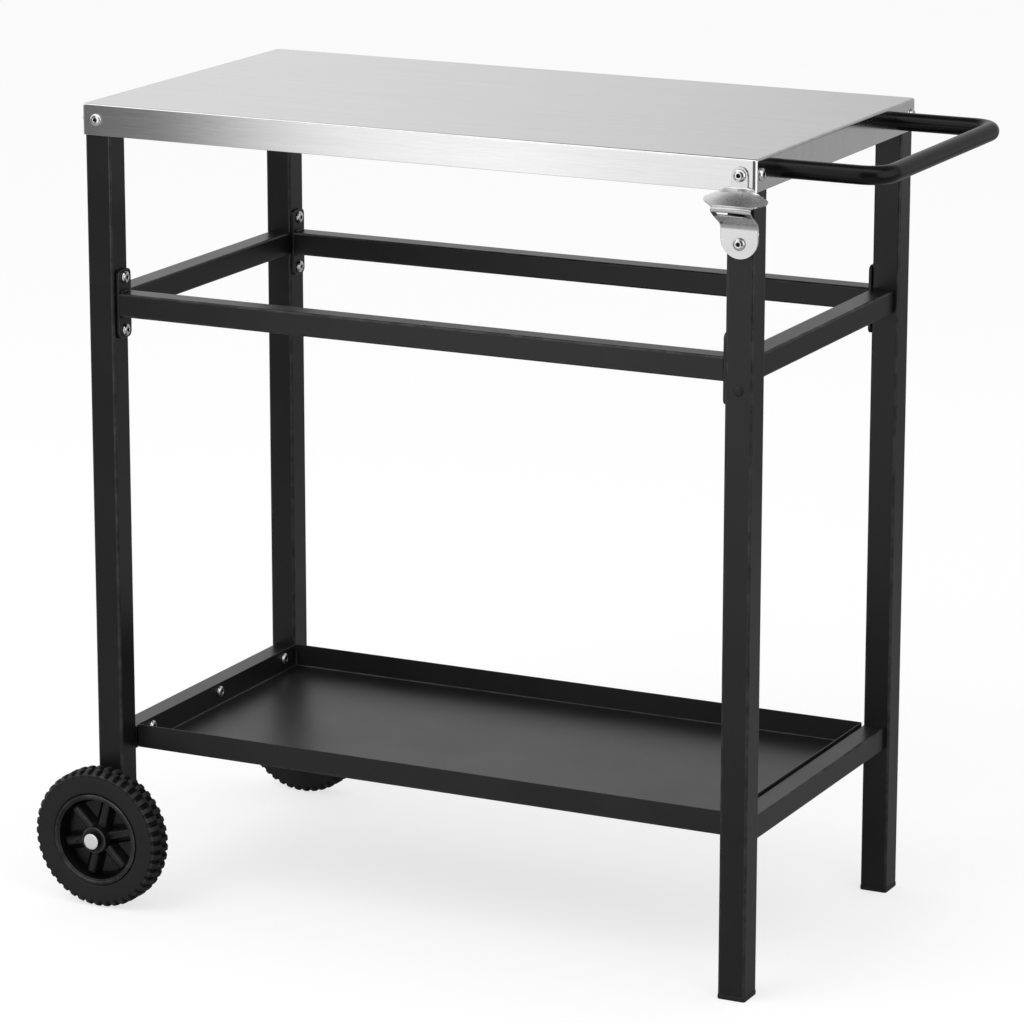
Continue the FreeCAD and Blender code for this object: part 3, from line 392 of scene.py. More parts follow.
class Effects:
    """Shader node groups that several materials share, each built once."""

    @staticmethod
    def start(name: str, inputs: dict[str, str], outputs: Sequence[str]) -> tuple[Graph, Outputs, Node]:
        """Begins a group.

        Args:
            name: The group's name.
            inputs: The kind of socket of each input, by its name.
            outputs: The names of its values.

        Returns:
            The group's graph, the sockets that it is given, and the node that takes its values.
        """
        tree = bpy.data.node_groups.new(name, "ShaderNodeTree")
        for label, kind in inputs.items():
            tree.interface.new_socket(label, in_out="INPUT", socket_type=f"NodeSocket{kind}")
        for label in outputs:
            tree.interface.new_socket(label, in_out="OUTPUT", socket_type="NodeSocketFloat")
        graph = Graph(tree)
        return graph, graph.add("NodeGroupInput").outputs, graph.add("NodeGroupOutput")

    @staticmethod
    @cache
    def brushing() -> bpy.types.NodeTree:
        """Fine scratches along one direction of a flat pattern, and the slow cloudiness of handled steel.

        The scratches are noise stretched to their length one way and to their fineness the other.

        Returns:
            The group: from Pattern, Length and Fineness to Scratch, Band and Cloud.
        """
        graph, given, out = Effects.start(
            "brushing", {"Pattern": "Vector", "Length": "Float", "Fineness": "Float"},
            ("Scratch", "Band", "Cloud"))
        lengthwise = graph.math("DIVIDE", 1.0, given["Length"])
        stretch = graph.add("ShaderNodeCombineXYZ", {0: lengthwise, 1: given["Fineness"], 2: 0.0}).outputs[0]
        product = graph.add("ShaderNodeVectorMath", {0: given["Pattern"], 1: stretch}, operation="MULTIPLY")
        place = product.outputs[0]
        graph.fill(out, {"Scratch": graph.noise(place, scale=1.0, detail=4.0, roughness=0.7),
                         "Band": graph.noise(place, scale=0.12, detail=2.0, roughness=0.5),
                         "Cloud": graph.noise(given["Pattern"], scale=6.0, detail=3.0, roughness=0.5)})
        return graph.tree

    @staticmethod
    @cache
    def grain() -> bpy.types.NodeTree:
        """The fine relief of a coat or a moulding, the pits in it, and a slow mottle.

        Returns:
            The group: from Place and the grain's Size to Relief, Pits and Mottle.
        """
        graph, given, out = Effects.start(
            "grain", {"Place": "Vector", "Size": "Float"}, ("Relief", "Pits", "Mottle"))
        rate = graph.math("DIVIDE", 1.0, given["Size"])
        relief = graph.noise(given["Place"], rate, detail=3.0, roughness=0.6)
        cells = graph.add("ShaderNodeTexVoronoi", {"Vector": given["Place"], "Scale": rate}).outputs[0]
        graph.fill(out, {"Relief": relief, "Pits": graph.band(cells, low=0.05, high=0.55),
                         "Mottle": graph.noise(given["Place"], scale=9.0, detail=4.0, roughness=0.55)})
        return graph.tree

    @staticmethod
    @cache
    def rubbing_and_shade() -> bpy.types.NodeTree:
        """Rubbed edges, broken up by noise, and painted shade in recesses, told apart by the sign of the wear
        value.

        Returns:
            The group: from Place and Amount to Mask, the rubbed share, and Soil, the share painted dark as
                shade.
        """
        graph, given, out = Effects.start("rubbing_and_shade", {"Place": "Vector", "Amount": "Float"}, ("Mask", "PaintedShade"))
        edge = graph.add("ShaderNodeAttribute", attribute_name="wear_and_shade").outputs["Fac"]
        # Painted shade: the share of a point that is marked as a recess.
        soil = graph.band(edge, low=-0.1, high=-0.9)
        patches = graph.noise(given["Place"], scale=55.0, detail=5.0, roughness=0.65)
        broken = graph.math("MULTIPLY", edge, graph.band(patches, low=0.32, high=0.72))
        graph.fill(out, {"Mask": graph.math("MULTIPLY", broken, given["Amount"]), "PaintedShade": soil})
        return graph.tree

    @staticmethod
    def grained(graph: Graph, size: float, rubbed: float) -> tuple[Outputs, Outputs]:
        """Places grain, rubbed edges and painted shade in a material.

        Args:
            graph: The material's graph.
            size: The grain's size.
            rubbed: How much of the edges is rubbed.

        Returns:
            The outputs of grain and of the group for rubbed edges and painted shade.
        """
        place = graph.place()
        grain = graph.effect(Effects.grain(), {"Place": place, "Size": size})
        return grain, graph.effect(Effects.rubbing_and_shade(), {"Place": place, "Amount": rubbed})


@dataclass(frozen=True)
class Finish:
    """What a piece is made of; a subclass adds its effects' sizes and says how its shader is wired."""

    slot: Slot
    name: str

    @cache
    def material(self) -> bpy.types.Material:
        """Makes the material, once for each finish.

        Returns:
            The material.
        """
        made = bpy.data.materials.new(f"finish_{self.name}")
        made.use_nodes = True
        self.wire(Graph(made.node_tree), made.node_tree.nodes["Principled BSDF"])
        return made

    def wire(self, graph: Graph, shader: Node) -> None:
        """Joins the effects to the shader; each finish says how."""
        raise NotImplementedError


@dataclass(frozen=True)
class BrushedSteel(Finish):
    """Stainless sheet with a directional grind that follows the flat pattern over its bends."""

    tone: float = 0.68
    contrast: float = 0.05
    rough: float = 0.15
    rough_spread: float = 0.05
    cloud_spread: float = 0.03
    length: float = 0.03
    fineness: float = 700.0
    depth: float = 0.03 * MM
    scratch_share: float = 0.65
    rubbed: float = 0.6
    rubbed_tone: float = 0.88

    def wire(self, graph: Graph, shader: Node) -> None:
        """Scratches vary colour, roughness and normal; clouds and bands vary them slowly.

        Args:
            graph: The material's graph.
            shader: Its shader.
        """
        pattern = graph.add("ShaderNodeAttribute", attribute_name="pattern").outputs["Vector"]
        brush = graph.effect(Effects.brushing(), {"Pattern": pattern, "Length": self.length,
                                                  "Fineness": self.fineness})
        rub_and_shade = graph.effect(Effects.rubbing_and_shade(), {"Place": graph.place(), "Amount": self.rubbed})
        scratch = graph.math("MULTIPLY", brush["Scratch"], self.scratch_share)
        share = graph.math("MULTIPLY_ADD", brush["Band"], 1 - self.scratch_share, scratch)
        share = graph.band(share, low=0.2, high=0.8)
        colour = graph.mix(share, grey(self.tone - self.contrast), grey(self.tone + self.contrast))
        colour = graph.mix(rub_and_shade["Mask"], colour, grey(self.rubbed_tone))
        rough = graph.math("ADD", graph.about(brush["Scratch"], self.rough, self.rough_spread),
                           graph.about(brush["Cloud"], 0.0, self.cloud_spread))
        graph.fill(shader, {"Base Color": colour, "Roughness": rough, "Metallic": 1.0,
                            "Normal": graph.relief(brush["Scratch"], self.depth)})


@dataclass(frozen=True)
class Plated(Finish):
    """Plated or polished metal: slightly mottled, with fine pits, rubbed edges and painted shade in its
    recesses.
    """

    tone: float = 0.7
    rough: float = 0.2
    size: float = 0.6 * MM
    depth: float = 0.004 * MM
    metal: float = 1.0
    darker: float = 0.05
    lighter: float = 0.04
    rubbed: float = 0.8
    rubbed_lift: float = 0.2
    brightest: float = 0.97
    # The tone of the painted shade in recesses.
    soil: float = 0.015
    mottle_spread: float = 0.05
    relief_spread: float = 0.03

    def wire(self, graph: Graph, shader: Node) -> None:
        """Mottle varies tone and roughness, and the relief gives the fine unevenness of the plating.

        Args:
            graph: The material's graph.
            shader: Its shader.
        """
        grain, rub_and_shade = Effects.grained(graph, self.size, self.rubbed)
        mottle = graph.band(grain["Mottle"], low=0.3, high=0.7)
        colour = graph.mix(mottle, grey(self.tone - self.darker), grey(self.tone + self.lighter))
        colour = graph.mix(rub_and_shade["Mask"], colour, grey(min(self.brightest, self.tone + self.rubbed_lift)))
        # Painted shade: what is marked as a recess is darkened to that tone.
        colour = graph.mix(rub_and_shade["PaintedShade"], colour, grey(self.soil))
        rough = graph.math("ADD", graph.about(grain["Mottle"], 0.0, self.mottle_spread),
                           graph.about(grain["Relief"], self.rough, self.relief_spread))
        graph.fill(shader, {"Base Color": colour, "Roughness": rough, "Metallic": self.metal,
                            "Normal": graph.relief(grain["Relief"], self.depth)})


@dataclass(frozen=True)
class DarkSkin(Finish):
    """Black coat, plastic or rubber: a fine relief, a slow mottle, paler rubbed edges, dusty pits and painted
    shade in recesses.
    """

    tone: float = 0.006
    pale: float = 0.009
    # The tone of rubbed edges; on the rim's lip and the tyre's shoulder it is also a painted highlight.
    edge: float = 0.05
    rubbed: float = 0.7
    rough: float = 0.36
    gloss: float = 0.4
    size: float = 0.9 * MM
    depth: float = 0.02 * MM
    dust: float = 0.0
    dust_lift: float = 3.0
    # The tone of the painted shade in recesses, as a share of the own tone.
    painted_shade_share: float = 0.25
    mottle_spread: float = 0.06
    pit_spread: float = 0.03
    polish: float = 0.08

    def wire(self, graph: Graph, shader: Node) -> None:
        """The relief makes the sheen uneven, the mottle varies tone and roughness, edges show through, and
        recesses are painted dark as shade.

        Args:
            graph: The material's graph.
            shader: Its shader.
        """
        grain, rub_and_shade = Effects.grained(graph, self.size, self.rubbed)
        colour = graph.mix(graph.band(grain["Mottle"], low=0.3, high=0.7), grey(self.tone), grey(self.pale))
        dusty = graph.math("MULTIPLY", grain["Pits"], self.dust)
        colour = graph.mix(dusty, colour, grey(self.pale * self.dust_lift))
        colour = graph.mix(rub_and_shade["Mask"], colour, grey(self.edge))
        # Painted shade: recesses are darkened to a share of the tone.
        colour = graph.mix(rub_and_shade["PaintedShade"], colour, grey(self.tone * self.painted_shade_share))
        rough = graph.math("ADD", graph.about(grain["Mottle"], self.rough, self.mottle_spread),
                           graph.about(grain["Pits"], 0.0, -self.pit_spread))
        rough = graph.math("SUBTRACT", rough, graph.math("MULTIPLY", rub_and_shade["Mask"], self.polish))
        graph.fill(shader, {"Base Color": colour, "Roughness": rough, "Metallic": 0.0,
                            "Specular IOR Level": self.gloss,
                            "Normal": graph.relief(grain["Relief"], self.depth)})


TOP_STEEL = BrushedSteel(Slot.STEEL, "brushed_steel")
STAMPED_STEEL = BrushedSteel(Slot.STEEL, "stamped_steel", rough=0.27, fineness=900.0, depth=0.012 * MM)
SCREW_STEEL = Plated(Slot.SCREW, "screw_steel", tone=0.72, rough=0.16)
ZINC = Plated(Slot.ZINC, "zinc_plate", tone=0.52, rough=0.36, size=1.4 * MM)
BRIGHT = Plated(Slot.CAP, "bright_cap", tone=0.93, rough=0.3, size=0.4 * MM, depth=0.002 * MM, metal=0.3)
COAT = DarkSkin(Slot.COAT, "satin_black_coat")
HANDLE_COAT = DarkSkin(Slot.COAT, "gloss_black_coat", tone=0.003, pale=0.005, rough=0.26, gloss=0.2,
                       depth=0.01 * MM)
TRAY_COAT = DarkSkin(Slot.COAT, "satin_black_sheet", tone=0.007, pale=0.011, rough=0.38, gloss=0.45)
PLASTIC = DarkSkin(Slot.PLASTIC, "moulded_black", tone=0.008, pale=0.012, rough=0.5, size=0.5 * MM,
                   depth=0.015 * MM)
# The wheel moulding and the tyre have pale edge tones, so that the rim's lip and the tyre's shoulder edge are
# partly rubbed and partly a painted highlight.
WHEEL_PLASTIC = DarkSkin(Slot.WHEEL, "wheel_moulding", tone=0.004, pale=0.007, edge=0.09, gloss=0.42,
                         size=0.7 * MM)
RUBBER = DarkSkin(Slot.RUBBER, "tyre_rubber", tone=0.008, pale=0.013, edge=0.07, rough=0.55, gloss=0.22,
                  size=0.5 * MM, depth=0.03 * MM, dust=0.35)


# The table's sub-assemblies


def node_box(node: str) -> tuple[np.ndarray, np.ndarray]:
    """The middle and the half size of a CAD node's box."""
    low, high = (np.array(corner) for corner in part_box(node))
    return (low + high) / 2, (high - low) / 2


@dataclass
class FoldedSheet:
    """A sheet with four folded walls: the work top, or the tray turned over."""

    node: str
    finish: Finish
    walls_down: bool
    sheet: float = 1.2 * MM
    bend: float = 2.6 * MM
    edge: float = 0.45 * MM
    corner: float = 2.2 * MM
    reach: float = 9.0 * MM
    bend_wear: float = 0.8

    def build(self) -> None:
        """Carries the wall's section round the rectangle and closes the flat on both sides.

        A point's place on the flat sheet is its plan place pushed outwards by its depth below the flat. The
        corners are rubbed where they stand free, half a sheet's thickness below the flat's underside.
        """
        middle, half = node_box(self.node)
        deep = 2 * half[2]
        section = [(self.reach, 0), (0, 0), (0, deep), (self.sheet, deep), (self.sheet, self.sheet),
                   (self.reach, self.sheet)]
        radii = [0, self.bend, self.edge, self.edge, self.bend - self.sheet, 0]
        path, bend = rounded_path(section, radii, steps=8, hold=0.12 * MM)
        grid, corner, outward = rectangle_loft(half[:2], self.corner, path, steps=7)
        depth = path[:, 1:]
        wear_and_shade = np.maximum(bend[:, None] * self.bend_wear, corner[None] * (depth > self.sheet * 1.5))
        flat = grid[..., :2] + outward[None] * depth[..., None]
        grid[..., 2] = middle[2] + (half[2] - depth) * (1 if self.walls_down else -1)
        grid[..., :2] += middle[:2]
        Skin().add(grid, wear_and_shade, flat, caps=True).piece(self.node, self.finish)


@dataclass
class TubeFrame:
    """Legs and rails: square tubes with rolled corners and open ends."""

    legs: tuple[str, ...] = ("leg_front_left", "leg_rear_left", "leg_front_right", "leg_rear_right")
    short_rails: tuple[str, ...] = ("mid_rail_left", "mid_rail_right", "shelf_rail_left", "shelf_rail_right")
    long_rails: tuple[str, ...] = ("mid_rail_front", "mid_rail_rear")
    wall: float = 1.5 * MM
    leg_corner: float = 2.6 * MM
    rail_corner: float = 2.2 * MM
    deburr: float = 0.25 * MM

    def tube(self, node: str, along: int, corner: float) -> None:
        """Carries the rounded square along the tube, round its rim and back along the bore.

        Args:
            node: The CAD node it stands for.
            along: The frame axis that the tube runs along, 0 to 2.
            corner: The outer corner radius.
        """
        middle, half = node_box(node)
        across = [(along + 1) % 3, (along + 2) % 3]
        length = half[along]
        section = [(0, -length), (0, length), (self.wall, length), (self.wall, -length)]
        path, _ = rounded_path(section, [self.deburr] * 4, steps=3, closed=True, hold=0.3 * MM)
        grid, corners, _ = rectangle_loft(half[across], corner, path, steps=6)
        placed = np.empty_like(grid)
        placed[..., across[0]], placed[..., across[1]], placed[..., along] = np.moveaxis(grid, -1, 0)
        outside = path[:, :1] < self.wall / 2
        Skin().add(placed + middle, corners[None] * outside, loop=True).piece(node, COAT)

    def build(self) -> None:
        """Makes every leg and rail."""
        for nodes, along, corner in ((self.legs, 2, self.leg_corner), (self.short_rails, 1, self.rail_corner),
                                     (self.long_rails, 0, self.rail_corner)):
            for node in nodes:
                self.tube(node, along, corner)


@dataclass
class RailPlates:
    """End plates of the long rails, each with a weld bead above and below its rail."""

    thick: float = 3.0 * MM
    corner: float = 6.0 * MM
    reach: float = 4.0 * MM
    rail: float = 25.0 * MM
    edges: Row = (0, 0.4 * MM, 0.6 * MM, 0)
    bead: float = 1.9 * MM
    bead_end: float = 3.2 * MM
    bead_fade: float = 3.0 * MM
    bead_wear: float = 0.3
    stations: int = 61
    turns: int = 14
    above_rail: float = 0.4 * MM
    proud: float = 0.3 * MM
    ripple: float = 1.7 * MM
    lean: float = 0.9
    swell: float = 0.12
    least: float = 0.02

    def build(self) -> None:
        """Makes the four plates."""
        for side, inward in (("left", Facing.RIGHT), ("right", Facing.LEFT)):
            for end in ("front", "rear"):
                self.plate(f"rail_plate_{end}_{side}", inward)

    def plate(self, node: str, inward: Facing) -> None:
        """One plate, its seat on its outer face and its own outward axis towards the table's middle.

        Args:
            node: The CAD node it stands for.
            inward: The way from the leg to the rail.
        """
        middle, half = node_box(node)
        seat = middle - np.array(inward.value) * half[0]
        section = [(self.reach, 0), (0, 0), (0, self.thick), (self.reach, self.thick)]
        path, bend = rounded_path(section, self.edges, steps=4, hold=0.2 * MM)
        grid, _, _ = rectangle_loft(half[1:], self.corner, path, steps=8)
        skin = Skin().add(seated(grid, seat, inward), bend[:, None], caps=True)
        for side in (-1, 1):
            skin.add(seated(self.weld(half[1], side), seat, inward), self.bead_wear, caps=True)
        skin.piece(node, COAT)

    def weld(self, half: float, side: int) -> np.ndarray:
        """A bead along the rail's edge: a circle whose radius swells with each ripple and fades at the ends.

        The fade is the square root of one less the eighth power of the place as a share of the fade's reach,
        and a ripple is half a sine wave.

        Args:
            half: Half the plate's width.
            side: 1 above the rail, -1 below it.

        Returns:
            The bead's points (stations, turns, 3) in the plate's own axes.
        """
        along = np.linspace(-half + self.bead_end, half - self.bead_end, self.stations)
        fade = np.sqrt(np.clip(1 - (along / (half - self.bead_fade)) ** 8, self.least, 1))
        wave = self.lean + self.swell * np.abs(np.sin(np.pi * along / self.ripple))
        radius = (self.bead * fade * wave)[:, None]
        turn = np.linspace(0, 2 * np.pi, self.turns, endpoint=False)
        up = side * (self.rail / 2 + self.above_rail) + radius * np.sin(turn) * side
        out = self.thick + self.proud + radius * np.cos(turn)
        return np.stack([np.broadcast_to(along[:, None], up.shape), up, out], axis=-1)


@dataclass
class PushHandle:
    """Round tube bent twice, its arms butting on the right skirt."""

    radius: float = 9.5 * MM
    wall: float = 1.5 * MM
    bend: float = 24.0 * MM
    sides: int = 40
    node: str = "handle_tube"

    def build(self) -> None:
        """Carries a circle along the bent line, out, round the rim and back along the bore."""
        middle, half = node_box(self.node)
        start, reach = middle[0] - half[0], middle[0] + half[0] - self.radius
        arm = half[1] - self.radius
        corners = [(start, -arm), (reach, -arm), (reach, arm), (start, arm)]
        line, _ = rounded_path(corners, [0, self.bend, self.bend, 0], steps=20, hold=2 * MM)
        outside = self.rings(line, middle[2], self.radius)
        bore = self.rings(line, middle[2], self.radius - self.wall)
        Skin().add(np.concatenate([outside, bore[::-1]]), loop=True).piece(self.node, HANDLE_COAT, sharp=50)

    def rings(self, line: np.ndarray, height: float, radius: float) -> np.ndarray:
        """The circles of one radius along the level line.

        A point is the line's point, moved by the radius times the cosine of its turn sideways and times the
        sine upwards.

        Args:
            line: The line's points (n, 2).
            height: Its height.
            radius: The circles' radius.

        Returns:
            The points (n, sides, 3).
        """
        ahead = np.gradient(line, axis=0)
        ahead /= np.linalg.norm(ahead, axis=1, keepdims=True)
        ahead[[0, -1]] = (1, 0), (-1, 0)
        side = np.stack([ahead[:, 1], -ahead[:, 0]], axis=1)
        turn = np.linspace(0, 2 * np.pi, self.sides, endpoint=False)
        level = line[:, None] + radius * side[:, None] * np.cos(turn)[None, :, None]
        rise = np.broadcast_to(height + radius * np.sin(turn), level.shape[:2])
        return np.concatenate([level, rise[..., None]], axis=-1)


@dataclass
class BottleOpener:
    """One stamped piece: round tab, arched hood with two wings, rolled lip, slot, scoop and round plate.

    In millimetres are the corners (forward, height) and radii of its front line, its half widths at marks
    below its upper screw, and the levels below that screw between which the hood has more rows.
    """

    node: str = "bottle_opener"
    centre: Point = (0.33295, -0.209, 0.8495)
    corners: tuple[Row, ...] = ((2, 8.5), (2, -12.2), (25.0, -27.0), (24.1, -28.0), (26.2, -29.2),
                                (25.4, -33.0), (19.0, -38.2), (0.8, -49.4), (0.8, -82.8))
    radii: Row = (0, 3.0, 0.5, 0.35, 1.4, 2.0, 3.0, 9.0, 0)
    marks: Row = (11.2, 11.6, 12.2, 13.0, 14.2, 19.6, 20.3, 20.9, 22.3, 23.0, 27.0, 31, 40, 52)
    widths: Row = (8.5, 8.9, 11.0, 14.6, 17.6, 33.0, 33.8, 34.0, 33.5, 32.6, 21.4, 21.3, 20.5, 20.0)
    sheet: float = 1.9 * MM
    soft_edge: float = 0.3 * MM
    sharp: float = 60.0
    tab: float = 8.5 * MM
    plate: float = 20.0 * MM
    tail: float = 82.8 * MM
    span: float = 34.0 * MM
    hood_top: float = 12.2 * MM
    hood_ease: float = 4.0 * MM
    hood_end: float = 31.0 * MM
    hood_fade: float = 9.0 * MM
    sweep: float = 5.0 * MM
    droop: float = 1.5 * MM
    arch: float = 0.7 * MM
    arch_level: float = 30.0 * MM
    arch_reach: float = 5.5 * MM
    tongue: float = 0.9 * MM
    tongue_level: float = 38.2 * MM
    tongue_reach: float = 1.0 * MM
    slot_half: float = 16.5 * MM
    slot: tuple[float, float] = (-37.4 * MM, -34.0 * MM)
    tongue_fade: float = 1.3
    columns: int = 81
    even_rows: int = 110
    hood_rows: int = 64
    hood_levels: tuple[float, float] = (11, 28)
    end_rows: int = 14
    first_turn: float = 0.02

    def line(self) -> np.ndarray:
        """The strip's front line from tab to plate, with more points where its outline turns.

        Its ends have points at one less the cosine of even steps, as fits their half circles.

        Returns:
            The points (n, 2) as (forward, height), from the top down.
        """
        corners, radii = np.array(self.corners) * MM, np.array(self.radii) * MM
        path, _ = rounded_path(corners, radii, steps=7, hold=0.05 * MM)
        run = np.concatenate([[0], np.cumsum(np.linalg.norm(np.diff(path, axis=0), axis=1))])
        ends = 1 - np.cos(np.linspace(self.first_turn, np.pi / 2, self.end_rows))
        hood = np.interp(np.linspace(*self.hood_levels, self.hood_rows) * MM, -path[:, 1], run)
        even = np.linspace(0, run[-1], self.even_rows)
        places = np.concatenate([run, even, hood, ends * self.tab, run[-1] - ends * self.plate])
        places = np.unique(np.round(places, 6))
        return np.stack([np.interp(places, run, path[:, 0]), np.interp(places, run, path[:, 1])], axis=1)

    def half_width(self, height: np.ndarray) -> np.ndarray:
        """Half the strip's width at its line's height.

        Tab and plate are half circles, the root of their radius squared less the height squared, and between
        them the width goes straight from mark to mark.

        Args:
            height: The heights.

        Returns:
            The half widths.
        """
        width = np.interp(-height, np.array(self.marks) * MM, np.array(self.widths) * MM)
        low = height + self.tail - self.plate
        width = np.where(low < 0, np.sqrt(np.clip(self.plate ** 2 - low ** 2, 0, None)), width)
        return np.where(height > 0, np.sqrt(np.clip(self.tab ** 2 - height ** 2, 0, None)), width)

    def surface(self) -> tuple[np.ndarray, np.ndarray, np.ndarray]:
        """Spreads each point of the line to its width.

        The hood is swept back and droops by the square of the way out. Arch and tongue rise by a bell curve
        of the distance from their level as a share of their reach.

        Returns:
            The points (rows, columns, 3) in the piece's own axes, their places on the flat sheet, and the
            quads to keep round the slot.
        """
        line = self.line()
        forward, height = line[:, :1], line[:, 1:]
        across = np.linspace(-1, 1, self.columns)[None]
        right = self.half_width(height) * across
        fade = np.exp(-(np.clip(-height - self.hood_end, 0, None) / self.hood_fade) ** 2)
        bow = np.clip((-self.hood_top - height) / self.hood_ease, 0, 1) * fade * (right / self.span) ** 2
        lip = np.exp(-((height + self.arch_level) / self.arch_reach) ** 2)
        tongue = np.exp(-((height + self.tongue_level) / self.tongue_reach) ** 2)
        tongue = tongue * np.clip(self.tongue_fade - (right / self.slot_half) ** 4, 0, 1)
        up = height + self.arch * lip * (1 - across ** 2) - self.droop * bow
        grid = np.stack([right, up, forward - self.sweep * bow + self.tongue * tongue], axis=-1)
        run = np.cumsum(np.linalg.norm(np.diff(line, axis=0, prepend=line[:1]), axis=1))
        flat = np.stack([right, np.broadcast_to(run[:, None], right.shape)], axis=-1)
        level = (height[1:] + height[:-1]) / 2
        middle = (right[1:, 1:] + right[:-1, :-1]) / 2
        hole = (level > self.slot[0]) & (level < self.slot[1]) & (np.abs(middle) < self.slot_half)
        return grid, flat, ~hole

    def build(self) -> None:
        """Makes the strip as one sheet and gives it its thickness and soft edges."""
        grid, flat, keep = self.surface()
        skin = Skin().add(seated(grid, self.centre, Facing.FRONT), 0.0, flat, ring=False, keep=keep)
        made = skin.piece(self.node, STAMPED_STEEL, sharp=self.sharp, front=Facing.FRONT)
        thick = made.modifiers.new("thickness", "SOLIDIFY")
        thick.thickness, thick.offset = self.sheet, -1
        soft = made.modifiers.new("soft_edges", "BEVEL")
        soft.width, soft.segments = self.soft_edge, 2
        soft.limit_method, soft.angle_limit = "ANGLE", math.radians(self.sharp)


@dataclass
class Screws:
    """Button-head screws with a hexagon socket, all of one kind in one object.

    The section goes from the shank's end to the socket's floor, as (radius, height, hexagon share) in
    millimetres. Wear is 1 at the rows that are rubbed and -1 at those painted dark as shade, the seat under
    the head and the socket.
    """

    node: str
    seats: list[tuple[float, float, float, Facing]]
    section: tuple[Row, ...] = (
        (0, -10), (2.5, -10), (2.95, -9.5), (2.95, 0), (6.2, 0), (6.45, 0.15), (6.5, 0.45), (6.5, 0.9),
        (6.3, 1.5), (5.8, 2.15), (5.0, 2.72), (4.0, 3.12), (3.2, 3.28), (2.75, 3.3, 0.2), (2.25, 3.28, 0.9),
        (2.05, 3.12, 1), (2.0, 2.95, 1), (2.0, 1.45, 1), (1.9, 1.3, 1), (0.9, 1.05, 0.4), (0, 0.9))
    rubbed: tuple[int, ...] = (7, 8, 14)
    # Rows painted dark as shade: the seat ring under the head and the inside of the socket.
    soiled: tuple[int, ...] = (4, 5, 16, 17, 18, 19, 20)
    sides: int = 48
    first_turn: float = 0.2
    next_turn: float = 0.7

    def build(self) -> None:
        """Puts a screw on every seat, each turned a little differently."""
        skin = Skin()
        section = turned(in_metres(self.section), self.sides)
        rows = np.arange(len(section))[:, None]
        wear_and_shade = 1.0 * np.isin(rows, self.rubbed) - np.isin(rows, self.soiled)
        for order, (x, y, z, facing) in enumerate(self.seats):
            screw = spun(section, self.next_turn * order + self.first_turn)
            skin.add(seated(screw, (x, y, z), facing), wear_and_shade)
        skin.piece(self.node, SCREW_STEEL)


def in_metres(rows: Sequence[Row]) -> list[tuple[float, ...]]:
    """Rows of (radius, height) or (radius, height, hexagon share) from millimetres to metres."""
    return [(row[0] * MM, row[1] * MM, *row[2:]) for row in rows]


@dataclass
class Fixings:
    """Every visible screw of the table, seated where the frame's tubes and sheets meet."""

    middle: float = 30.85 * MM
    leg: float = 363.8 * MM
    skirt: tuple[float, float] = (381.0 * MM, 209.0 * MM)
    skirt_screw: float = 197.0 * MM
    skirt_level: float = 849.5 * MM
    plate_face: float = 344.8 * MM
    rail: float = 189.3 * MM
    plate_levels: tuple[float, float] = (681.5 * MM, 625.5 * MM)
    tray_face: float = 346.6 * MM
    tray_level: float = 179.5 * MM
    tray_pitch: float = 147.0 * MM
    opener_faces: tuple[tuple[float, float], ...] = ((-211.0 * MM, 849.5 * MM), (-209.8 * MM, 781.5 * MM))

    def build(self) -> None:
        """Makes the screws of the top, the opener, the rail plates and the tray, an object for each."""
        top, rail, tray = [], [], []
        for sx, out, inward in ((-1, Facing.LEFT, Facing.RIGHT), (1, Facing.RIGHT, Facing.LEFT)):
            for sy, facing in ((-1, Facing.FRONT), (1, Facing.REAR)):
                if (sx, sy) != (1, -1):
                    top.append((sx * self.leg - self.middle, sy * self.skirt[1], self.skirt_level, facing))
                top.append((sx * self.skirt[0] - self.middle, sy * self.skirt_screw, self.skirt_level, out))
                rail += [(sx * self.plate_face - self.middle, sy * self.rail, level, inward)
                         for level in self.plate_levels]
            tray += [(sx * self.tray_face - self.middle, step * self.tray_pitch, self.tray_level, inward)
                     for step in (-1, 0, 1)]
        opener = [(self.leg - self.middle, y, z, Facing.FRONT) for y, z in self.opener_faces]
        for name, seats in (("top", top), ("opener", opener), ("rail", rail), ("tray", tray)):
            Screws(f"{name}_screws", seats).build()


